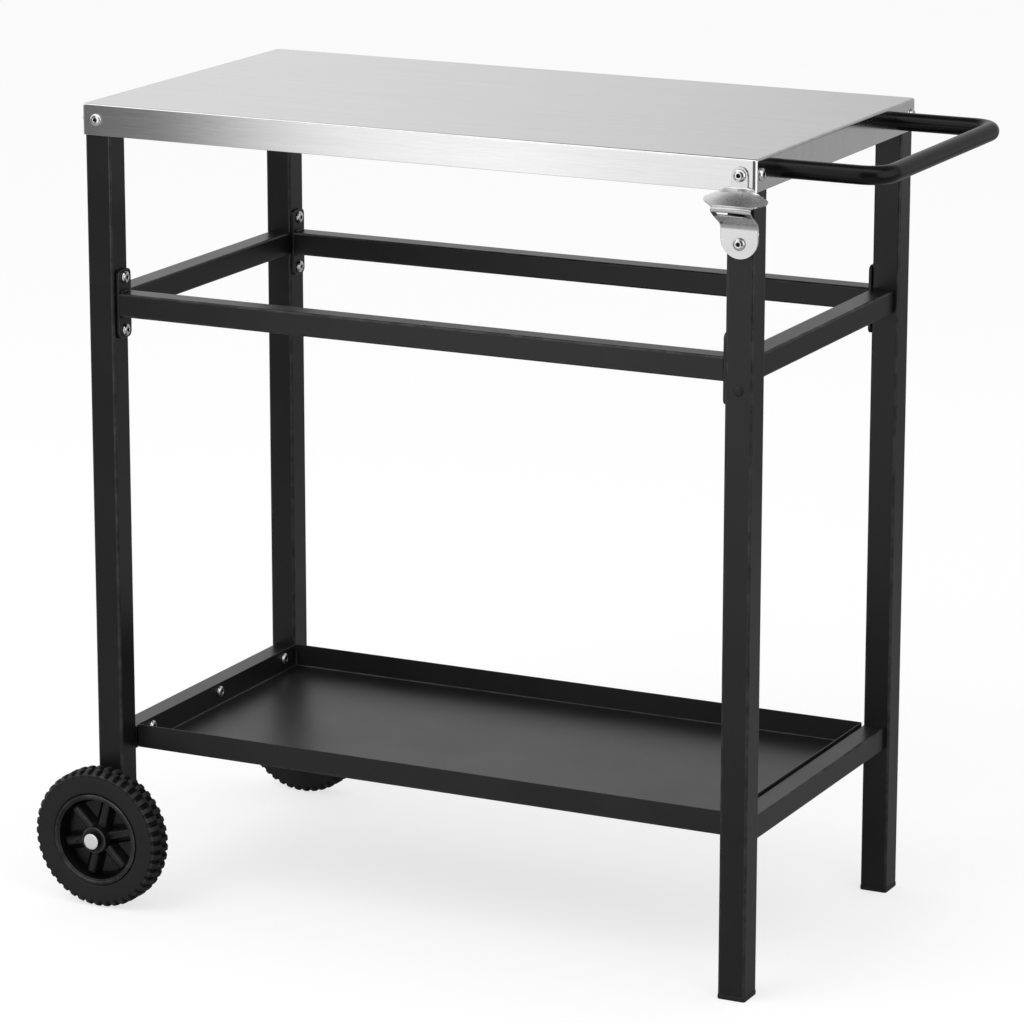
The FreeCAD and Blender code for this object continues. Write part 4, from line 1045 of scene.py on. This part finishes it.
@dataclass
class LegEnds:
    """Plastic feet of the right legs and plugs of the left ones, and the round plug in the spare hole.

    The plug's dome has rows of (radius, height), in millimetres.
    """

    collars: dict[str, float] = field(default_factory=lambda: {
        "foot_front_right": 5.0 * MM, "foot_rear_right": 5.0 * MM,
        "leg_plug_front_left": 2.5 * MM, "leg_plug_rear_left": 2.5 * MM})
    shy: float = 2.1 * MM
    reach: float = 6.0 * MM
    corner: float = 3.0 * MM
    radii: Row = (0, 1.1 * MM, 0.5 * MM, 0.2 * MM, 0.8 * MM, 0)
    wear_and_shade: float = 0.5
    plug: str = "hole_plug"
    plug_wear: float = 0.1
    crown: float = 1.6 * MM
    dome: tuple[Row, ...] = ((0, -6), (3.7, -6), (3.95, -5.6), (3.95, 0), (5.0, 0), (5.2, 0.2), (5.2, 0.5),
                             (5.0, 0.85), (4.5, 1.15), (3.6, 1.4), (2.2, 1.55), (0, 1.6))

    def build(self) -> None:
        """Makes the four leg ends and the plug."""
        for node, collar in self.collars.items():
            self.end(node, collar)
        self.spare_plug()

    def end(self, node: str, collar: float) -> None:
        """A collar under the tube with an insert inside it, as one stepped skin.

        Args:
            node: The CAD node it stands for.
            collar: The height of the part that shows.
        """
        middle, half = node_box(node)
        tall = 2 * half[2]
        section = [(self.reach, 0), (0, 0), (0, collar), (self.shy, collar), (self.shy, tall),
                   (self.reach, tall)]
        path, bend = rounded_path(section, self.radii, steps=5, hold=0.15 * MM)
        grid, _, _ = rectangle_loft(half[:2], self.corner, path, steps=6)
        grid += (middle[0], middle[1], middle[2] - half[2])
        wear_and_shade = self.wear_and_shade * bend[:, None] * (path[:, 1:] < collar)
        Skin().add(grid, wear_and_shade, caps=True).piece(node, PLASTIC)

    def spare_plug(self) -> None:
        """A low dome with a stem in the front right leg's spare hole."""
        middle, half = node_box(self.plug)
        seat = (middle[0], middle[1] - half[1] + self.crown, middle[2])
        grid = turned(in_metres(self.dome), sides=40)
        Skin().add(seated(grid, seat, Facing.FRONT), self.plug_wear).piece(self.plug, PLASTIC)


@dataclass
class WheelPart:
    """What tyre, rim and axle share: their wheel, and its own axes from the middle of its inner face."""

    end: str
    body: Body
    facing: Facing
    width: float = 33.0 * MM

    @property
    def seat(self) -> np.ndarray:
        """The middle of the wheel's inner face, in the frame."""
        middle, _ = node_box(f"tyre_{self.end}")
        return middle - np.array(self.facing.value) * self.width / 2

    def placed(self, points: np.ndarray) -> np.ndarray:
        """Points of the wheel's own axes, in the frame."""
        return seated(points, self.seat, self.facing)


@dataclass
class Tyre(WheelPart):
    """Rubber tyre with two rows of lugs, its shoulder edges paler, partly rubbed and partly a painted
    highlight, and its notches painted dark as shade.

    Its sections go from bead to middle as (radius, depth), in millimetres.
    """

    crest: tuple[Row, ...] = (
        (50.1, 2.2), (50.8, 1.0), (52.0, 0.15), (53.5, 0.0), (66.0, 0.0), (69.0, 0.0), (70.6, 0.0),
        (71.9, 0.1), (72.4, 0.5), (73.4, 1.9), (74.9, 4.0), (75.7, 5.6), (75.97, 6.8), (75.97, 12.6),
        (75.8, 13.6), (75.0, 14.3), (73.4, 14.8), (72.8, 15.2))
    floor: tuple[Row, ...] = (
        (50.1, 2.2), (50.8, 1.0), (52.0, 0.15), (53.5, 0.0), (66.0, 0.0), (68.6, 0.1), (69.8, 0.6),
        (70.8, 0.9), (71.2, 1.3), (71.6, 2.4), (72.0, 4.0), (72.2, 5.6), (72.3, 6.8), (72.4, 12.6),
        (72.4, 13.6), (72.4, 14.3), (72.6, 14.8), (72.8, 15.2))
    lugs: int = 44
    samples: int = 16
    side: float = 0.8 * MM
    notch: float = 0.46
    slope: float = 0.16
    # Shoulder rows, paler: partly rubbed and partly a painted highlight along the shoulder edge.
    shoulder: tuple[int, ...] = (7, 8)
    tread: int = 6
    # How strongly the notches across the tread are painted dark as shade.
    soil: float = 1.2

    def build(self) -> None:
        """Turns a section whose points move between a lug's crest and a notch's floor on their way round.

        The two rows are half a pitch apart. A point's share of the notch eases over the slope, as three times
        the square less twice the cube of the way across it; notch and slope are shares of the pitch.
        """
        crest, floor = np.array(self.crest), np.array(self.floor)
        order = np.arange(len(crest))
        phase = np.arange(self.lugs * self.samples) / self.samples
        grids, wear_and_shade_rows = [], []
        for shift, outer in ((0.0, True), (0.5, False)):
            where = np.abs(np.mod(phase + shift, 1) - 0.5)
            share = np.clip((self.notch / 2 - where) / self.slope + 0.5, 0, 1)[:, None, None]
            share = share * share * (3 - 2 * share)
            row = (crest + (floor - crest) * share) * MM
            high = self.width - self.side - row[..., 1] if outer else self.side + row[..., 1]
            step = slice(None) if outer else slice(None, None, -1)
            grids.append(np.stack([row[..., 0], high], axis=-1)[:, step])
            # The shoulders are lightened, partly as a painted highlight, and the notches darkened as painted
            # shade.
            wear_and_shade = np.isin(order, self.shoulder) - (order >= self.tread) * share[..., 0] * self.soil
            wear_and_shade_rows.append(wear_and_shade[:, step])
        row = np.concatenate(grids, axis=1)
        angle = (phase / self.lugs * 2 * np.pi)[:, None]
        grid = np.stack([row[..., 0] * np.cos(angle), row[..., 0] * np.sin(angle), row[..., 1]], axis=-1)
        skin = Skin().add(self.placed(grid), np.concatenate(wear_and_shade_rows, axis=1), loop=True)
        skin.piece(f"tyre_{self.end}", RUBBER, self.body, sharp=32)


@dataclass
class Rim(WheelPart):
    """Moulded rim: barrel, hub, web, fan panels and spokes; its sizes are in millimetres.

    A ring is its section's corners as (radius, height) and their radii; a panel's stack is (inset, height).
    """

    rings: tuple[tuple[tuple[Row, ...], Row], ...] = (
        (((50, 0), (50, 33), (46.6, 33), (46.1, 31.6), (44.5, 31.2), (44.5, 1.2), (46, 0)),
         (1.0, 1.6, 1.4, 0.3, 0.6, 0.6, 0.6)),
        (((5.15, 0), (14.5, 0), (14.5, 34.5), (5.15, 34.5)), (0.4, 0.8, 1.6, 0.5)),
        (((14.0, 8), (45.0, 8), (45.0, 12), (14.0, 12)), (0.2, 0.2, 0.2, 0.2)))
    # Ring rows lower than this, deep in the rim, are painted dark as shade.
    soiled_below: float = 24.0
    stack: tuple[Row, ...] = ((0.0, 11.5), (0.0, 15.5), (0.12, 16.0), (0.4, 16.35), (0.8, 16.5), (1.2, 16.5))
    panel_aside: float = 9.2
    panel_outer: float = 40.4
    spokes: int = 6
    spoke_turn: float = 15.0
    spoke_base: float = 11.5
    spoke_crest: float = 25.0
    spoke_half: float = 5.1
    spoke_round: float = 4.4
    spoke_foot: float = 0.2
    spoke_wear: float = 0.25
    stations: Row = (13.0, 14.5, 30.0, 39.5, 41.2, 42.6, 43.6, 45.2)
    rises: Row = (1.0, 1.0, 1.0, 1.0, 0.97, 0.88, 0.7, 0.62)
    narrows: Row = (1.0, 1.0, 1.0, 1.0, 0.99, 0.95, 0.88, 0.86)
    eyelet: tuple[Row, ...] = ((2.1, 24.8), (2.1, 25.5), (1.7, 25.9), (1.35, 25.9), (1.2, 25.6), (1.1, 25.1),
                               (0, 25.08))
    # The eyelet's rim is rubbed and its hollow painted dark as shade.
    eyelet_wear_and_shade: Row = (0, 0, 0.4, 0.4, -1, -1, -1)
    eyelet_radius: float = 26.5
    eyelet_spoke: int = 2

    def ring(self, corners: Sequence[Row], radii: Row) -> tuple[np.ndarray, np.ndarray]:
        """A ring whose closed section has rounded corners; what lies deep in the rim is painted dark as
        shade.

        Args:
            corners: The section's corners.
            radii: Each corner's radius.

        Returns:
            The points in the frame, and each row's mark: rubbed at its bends, and painted shade deep in the
            rim.
        """
        path, bend = rounded_path(np.array(corners) * MM, np.array(radii) * MM, steps=5, closed=True,
                                  hold=0.1 * MM)
        wear_and_shade = np.where(path[:, 1:] < self.soiled_below * MM, -1.0, bend[:, None])
        return self.placed(turned(path, sides=96)), wear_and_shade

    def fan(self, inset: float, steps: int = 14) -> np.ndarray:
        """A fan panel's outline drawn in by an inset: two sides parallel to the spokes beside it, and an arc.

        Args:
            inset: How far the outline is drawn in.
            steps: Points on each side and on the arc.

        Returns:
            The outline (n, 2) about the wheel's middle, its bisector along the first axis.
        """
        aside, outer, half = self.panel_aside + inset, self.panel_outer - inset, math.pi / self.spokes
        along = np.linspace(aside / math.tan(half), math.sqrt(outer ** 2 - aside ** 2), steps)
        limit = half - math.asin(aside / outer)
        arc = np.linspace(-limit, limit, steps + 2)[1:-1]
        cos, sin = math.cos(half), math.sin(half)
        lower = np.stack([along * cos + aside * sin, -along * sin + aside * cos], axis=1)
        upper = lower[::-1][:-1] * (1, -1)
        return np.concatenate([lower, np.stack([outer * np.cos(arc), outer * np.sin(arc)], axis=1), upper])

    def panel(self) -> np.ndarray:
        """A fan panel: its outline at each inset and height of the stack.

        Returns:
            The points (rows, n, 3), its bisector along the first axis.
        """
        outlines = np.stack([self.fan(inset) for inset, _ in self.stack])
        level = np.broadcast_to(np.array(self.stack)[:, 1:, None], outlines.shape[:2] + (1,))
        return np.concatenate([outlines, level], axis=-1) * MM

    def spoke(self) -> np.ndarray:
        """A spoke: a rounded-top section carried outwards, its crest dropping where it meets the barrel.

        Returns:
            The points (stations, section, 3), along the first axis.
        """
        base, crest, half = self.spoke_base, self.spoke_crest, self.spoke_half
        corners = [(half, base), (half, crest), (-half, crest), (-half, base)]
        radii = [self.spoke_foot, self.spoke_round, self.spoke_round, self.spoke_foot]
        section, _ = rounded_path(corners, radii, steps=8, closed=True, hold=0.1)
        station, rise, narrow = (np.array(row)[:, None] for row in (self.stations, self.rises, self.narrows))
        across = section[None, :, 0] * narrow
        height = base + (section[None, :, 1] - base) * rise
        return np.stack([np.broadcast_to(station, across.shape), across, height], axis=-1) * MM

    def spoke_angle(self, order: float) -> float:
        """The angle of a spoke, or half way between two, in radians."""
        return math.radians(90 - self.spoke_turn + order * 360 / self.spokes)

    def build(self) -> None:
        """Turns the rings about the axis and lays panels, spokes and the small eyelet on the web."""
        skin = Skin()
        for corners, radii in self.rings:
            skin.add(*self.ring(corners, radii), loop=True)
        for order in range(self.spokes):
            skin.add(self.placed(spun(self.panel(), self.spoke_angle(order + 0.5))), 0.0, caps=True)
            skin.add(self.placed(spun(self.spoke(), self.spoke_angle(order))), self.spoke_wear, caps=True)
        eyelet = (turned(self.eyelet, sides=16) + (self.eyelet_radius, 0, 0)) * MM
        eyelet = spun(eyelet, self.spoke_angle(self.eyelet_spoke))
        skin.add(self.placed(eyelet), np.array(self.eyelet_wear_and_shade)[:, None])
        skin.piece(f"wheel_rim_{self.end}", WHEEL_PLASTIC, self.body)


@dataclass
class Axle(WheelPart):
    """Pin with its hexagon head behind the leg, cap, spacer and washer, none of which turns with the wheel.

    A row of a section is (radius, end, offset) or (radius, end, offset, hexagon share), in millimetres. The
    end goes from 0, the part's inner face, to 1, its outer one, and the offset goes outwards from there.
    """

    sections: dict[str, tuple[Row, ...]] = field(default_factory=lambda: {
        "pin": ((0, 0, 0), (7.6, 0, 0), (8.2, 0, 0.35, 0.3), (8.5, 0, 1.1, 1), (8.5, 0, 6.3, 1),
                (8.3, 0, 6.4, 1), (5.0, 0, 6.4), (5.0, 1, -0.8), (4.3, 1, 0), (0, 1, 0)),
        "cap": ((0, 0, 0.6), (4.8, 0, 0.6), (5.2, 0, 0), (8.7, 0, 0), (8.8, 0, 0.3), (8.8, 0.5, 0),
                (8.65, 1, -1.0), (8.45, 1, -0.7), (7.8, 1, -0.35), (6.6, 1, -0.14), (4.0, 1, -0.04),
                (0, 1, 0)),
        "spacer": ((5.2, 0, 0), (7.75, 0, 0), (7.95, 0, 0.2), (7.95, 1, -0.2), (7.75, 1, 0), (5.2, 1, 0)),
        "washer": ((5.2, 0, 0), (8.75, 0, 0), (8.95, 0, 0.2), (8.95, 1, -0.2), (8.75, 1, 0), (5.2, 1, 0))})
    wear_and_shade: float = 0.2
    # From this radius out, the cap's rim and the washer's rim are painted dark as shade.
    soiled_from: float = 8.6

    def build(self) -> None:
        """Makes each part between the faces of its CAD node, painted dark as shade where its radius is
        largest.
        """
        inner = abs(self.seat[1])
        for kind, section in self.sections.items():
            node = f"axle_{kind}_{self.end}"
            low, high = sorted((abs(corner[1]) - inner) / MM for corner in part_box(node))
            rows = [(radius, low * (1 - end) + high * end + offset, *share)
                    for radius, end, offset, *share in section]
            wear_and_shade = np.where(np.array([row[:1] for row in rows]) >= self.soiled_from, -1.0, self.wear_and_shade)
            skin = Skin().add(self.placed(turned(in_metres(rows), sides=72)), wear_and_shade, loop=rows[0][0] > 0)
            skin.piece(node, BRIGHT if kind == "cap" else ZINC)


@dataclass
class HiddenParts:
    """CAD nodes whose shape is right as it is: they keep their mesh and get their finish."""

    finishes: dict[str, Finish] = field(default_factory=lambda: {
        "top_stiffener_front": COAT, "top_stiffener_rear": COAT, "top_nuts": ZINC, "opener_nut": ZINC,
        "rail_nuts": ZINC, "tray_nuts": ZINC, "handle_plugs": ZINC, "handle_washers": ZINC,
        "handle_screws": SCREW_STEEL})

    def build(self) -> None:
        """Gives each node its finish."""
        for name, finish in self.finishes.items():
            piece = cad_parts[name]
            piece.data.materials.clear()
            piece.data.materials.append(finish.material())
            LOG.info("%s: kept, finish %s", name, finish.name)


# Studio


def emitter(name: str, tone: float) -> tuple[bpy.types.Material, Graph, Node]:
    """A matt material without gloss, whose emission is still to be joined.

    Args:
        name: The material's name.
        tone: Its own tone, which the lamps light.

    Returns:
        The material, its graph and its shader.
    """
    made = bpy.data.materials.new(name)
    made.use_nodes = True
    graph = Graph(made.node_tree)
    shader = made.node_tree.nodes["Principled BSDF"]
    graph.fill(shader, {"Base Color": grey(tone), "Roughness": 1.0, "Specular IOR Level": 0.0,
                        "Emission Strength": 1.0})
    return made, graph, shader


def stage_sheet(name: str, start: Point, end: Point, material: bpy.types.Material) -> bpy.types.Object:
    """A flat sheet that belongs to the stage, level or upright.

    Args:
        name: The sheet's name.
        start: One corner.
        end: The opposite corner; the sheet is level if it is as high as the first.
        material: What it is made of.

    Returns:
        The sheet.
    """
    near, far = (start[1], end[1]) if start[2] == end[2] else (end[1], start[1])
    corners = [start, (end[0], near, start[2]), end, (start[0], far, end[2])]
    mesh = bpy.data.meshes.new(name)
    mesh.from_pydata(corners, [], [(0, 1, 2, 3)])
    mesh.materials.append(material)
    made = bpy.data.objects.new(name, mesh)
    bpy.context.scene.collection.objects.link(made)
    return made


def looking(position: Row, right: Row, up: Row, back: Row) -> Matrix:
    """The place of a camera or lamp from its own three axes."""
    columns = np.column_stack([right, up, back, position])
    return Matrix([*columns.tolist(), (0, 0, 0, 1)])


@dataclass
class Viewpoint:
    """The photograph's camera."""

    position: Point = (2.14301, -4.38184, 1.66524)
    yaw: float = 26.239
    pitch: float = 14.241
    roll: float = -0.047
    lens: float = 166.79
    sensor: float = 36.0
    nearest: float = 0.05
    farthest: float = 100.0

    def build(self) -> None:
        """Makes the camera: it looks along yaw and pitch, and rolls about that line."""
        yaw, pitch, roll = (math.radians(value) for value in (self.yaw, self.pitch, self.roll))
        level = np.array((math.cos(yaw), math.sin(yaw), 0.0))
        ahead = np.array((-level[1] * math.cos(pitch), level[0] * math.cos(pitch), -math.sin(pitch)))
        down = np.cross(ahead, level)
        right = level * math.cos(roll) + down * math.sin(roll)
        down = down * math.cos(roll) - level * math.sin(roll)
        data = bpy.data.cameras.new("photo_camera")
        data.lens, data.sensor_width = self.lens, self.sensor
        data.clip_start, data.clip_end = self.nearest, self.farthest
        camera = bpy.data.objects.new("photo_camera", data)
        camera.matrix_world = looking(self.position, right, -down, -ahead)
        bpy.context.scene.collection.objects.link(camera)
        bpy.context.scene.camera = camera


@dataclass(frozen=True)
class Card:
    """An upright or level card that only reflections see, shaded from side to side as a studio's wall is.

    It lies between two opposite corners, and its tones are stops of (X, tone).
    """

    name: str
    start: Point
    end: Point
    tones: tuple[tuple[float, float], ...]

    def build(self) -> None:
        """Makes the card; its tone at a place is read off the stops along the frame's X axis."""
        material, graph, shader = emitter(self.name, 0.0)
        along = graph.add("ShaderNodeSeparateXYZ", {0: graph.place()}).outputs[0]
        first, last = self.tones[0][0], self.tones[-1][0]
        share = graph.add("ShaderNodeMapRange", {"Value": along, "From Min": first, "From Max": last})
        ramp = graph.add("ShaderNodeValToRGB", {0: share.outputs["Result"]})
        stops = ramp.color_ramp.elements
        for place, tone in self.tones[1:-1]:
            stops.new((place - first) / (last - first)).color = grey(tone)
        stops[0].color, stops[-1].color = grey(self.tones[0][1]), grey(self.tones[-1][1])
        graph.fill(shader, {"Emission Color": ramp.outputs[0]})
        card = stage_sheet(self.name, self.start, self.end, material)
        for hidden in ("camera", "diffuse", "shadow", "transmission", "volume_scatter"):
            setattr(card, f"visible_{hidden}", False)


@dataclass(frozen=True)
class Lamp:
    """A square lamp that looks at the table's middle and that reflections don't see."""

    name: str
    place: Point
    size: float
    power: float
    aim: Point = (0.0, 0.0, 0.55)

    def build(self) -> None:
        """Makes the lamp; its back axis points from its aim to its place."""
        data = bpy.data.lights.new(self.name, "AREA")
        data.shape, data.size, data.energy = "SQUARE", self.size, self.power
        lamp = bpy.data.objects.new(self.name, data)
        lamp.visible_glossy = False
        back = np.array(self.place) - self.aim
        back /= np.linalg.norm(back)
        right = np.cross((0.0, 0.0, 1.0), back)
        right /= np.linalg.norm(right)
        lamp.matrix_world = looking(self.place, right, np.cross(back, right), back)
        bpy.context.scene.collection.objects.link(lamp)


@dataclass
class Studio:
    """Pale floor, white surround and soft lamps, with shaded cards that only reflections see."""

    floor_corners: tuple[Point, Point] = ((-14.0, -14.0, 0.0), (14.0, 14.0, 0.0))
    ambient: float = 0.72
    floor_tone: float = 0.34
    floor_white: float = 0.705
    floor_sheen: float = 0.08
    lamps: tuple[Lamp, ...] = (Lamp("soft_lamp_0", (-1.2, -2.6, 3.4), 2.6, 60.0),
                               Lamp("soft_lamp_1", (2.4, -1.6, 3.0), 2.0, 16.0))
    cards: tuple[Card, ...] = (
        Card("front_card", (-2.6, -1.35, 0.3), (1.6, -1.35, 1.9),
             ((-2.6, 0.16), (-1.05, 0.17), (-0.965, 0.26), (-0.872, 0.8), (-0.757, 1.2), (-0.615, 1.3),
              (-0.47, 1.38), (-0.33, 1.18), (-0.168, 1.15), (0.02, 1.1), (0.16, 0.12), (1.6, 0.12))),
        Card("front_low_card", (-2.6, -1.35, 0.0), (1.6, -1.35, 0.3),
             ((-2.6, 0.16), (-1.05, 0.17), (-0.872, 0.5), (-0.615, 0.8), (1.6, 0.8))),
        Card("rear_card", (2.6, 1.6, 0.45), (-2.6, 1.6, 2.4),
             ((-2.6, 0.9), (-1.1, 0.84), (-0.58, 0.75), (-0.28, 0.67), (0.5, 0.5), (1.0, 0.41), (2.6, 0.38))),
        Card("rear_low_card", (2.6, 1.6, 0.0), (-2.6, 1.6, 0.45),
             ((-2.6, 0.5), (-0.5, 0.35), (1.0, 0.22), (2.6, 0.2))),
        Card("right_card", (1.9, -1.3, 0.42), (1.9, 0.3, 1.9), ((1.8, 1.5), (2.0, 1.5))),
        Card("ceiling_front_card", (-2.6, -1.35, 2.3), (1.9, -0.35, 2.3), ((-2.6, 1.7), (1.9, 1.7))),
        Card("ceiling_card", (-2.6, -0.35, 2.4), (1.9, 1.6, 2.4),
             ((-2.6, 0.8), (-0.95, 0.7), (-0.6, 0.2), (-0.35, 0.04), (-0.1, 0.1), (0.4, 0.25), (1.9, 0.3))))

    def seen(self, graph: Graph, *rays: str) -> Socket:
        """1 for the kinds of ray that are named, 0 for the rest.

        Args:
            graph: The graph that asks.
            rays: The kinds, by Light Path's names.

        Returns:
            The value.
        """
        path = graph.add("ShaderNodeLightPath").outputs
        total = path[f"Is {rays[0]} Ray"]
        for ray in rays[1:]:
            total = graph.math("MAXIMUM", total, path[f"Is {ray} Ray"])
        return total

    def build(self) -> None:
        """Makes the world, the floor, the lamps and the cards."""
        self.world()
        self.floor()
        for light in (*self.lamps, *self.cards):
            light.build()
        bpy.context.scene.view_settings.view_transform = "Standard"

    def world(self) -> None:
        """White for what the camera and reflections see, softer as a light."""
        world = bpy.data.worlds.new("white_surround")
        world.use_nodes = True
        bpy.context.scene.world = world
        graph = Graph(world.node_tree)
        strength = graph.spread(self.seen(graph, "Camera", "Glossy", "Transmission"), self.ambient, 1.0)
        graph.fill(world.node_tree.nodes["Background"], {"Color": grey(1.0), "Strength": strength})

    def floor(self) -> None:
        """A flat pale sheet: part of its tone is its own, so that a shadow on it stays soft."""
        material, graph, shader = emitter("studio_floor", self.floor_tone)
        camera = graph.math("MULTIPLY", self.seen(graph, "Camera"), self.floor_white)
        sheen = graph.math("MULTIPLY", self.seen(graph, "Glossy", "Transmission"), self.floor_sheen)
        graph.fill(shader, {"Emission Color": graph.math("MAXIMUM", camera, sheen)})
        stage_sheet("studio_floor", *self.floor_corners, material)


def main() -> None:
    """Builds the studio and every sub-assembly in order, and writes how large the model is."""
    logging.basicConfig(level=logging.INFO, format="%(name)s %(message)s")
    top = FoldedSheet("top_panel", TOP_STEEL, walls_down=True, corner=4.5 * MM)
    tray = FoldedSheet("shelf_tray", TRAY_COAT, walls_down=False)
    places = ("front", Body.FRONT_WHEEL, Facing.FRONT), ("rear", Body.REAR_WHEEL, Facing.REAR)
    wheels = [part(*place) for place in places for part in (Tyre, Rim, Axle)]
    for assembly in (Viewpoint(), Studio(), top, tray, TubeFrame(), RailPlates(), PushHandle(),
                     BottleOpener(), Fixings(), LegEnds(), *wheels, HiddenParts()):
        assembly.build()


if __name__ == "__main__":
    main()
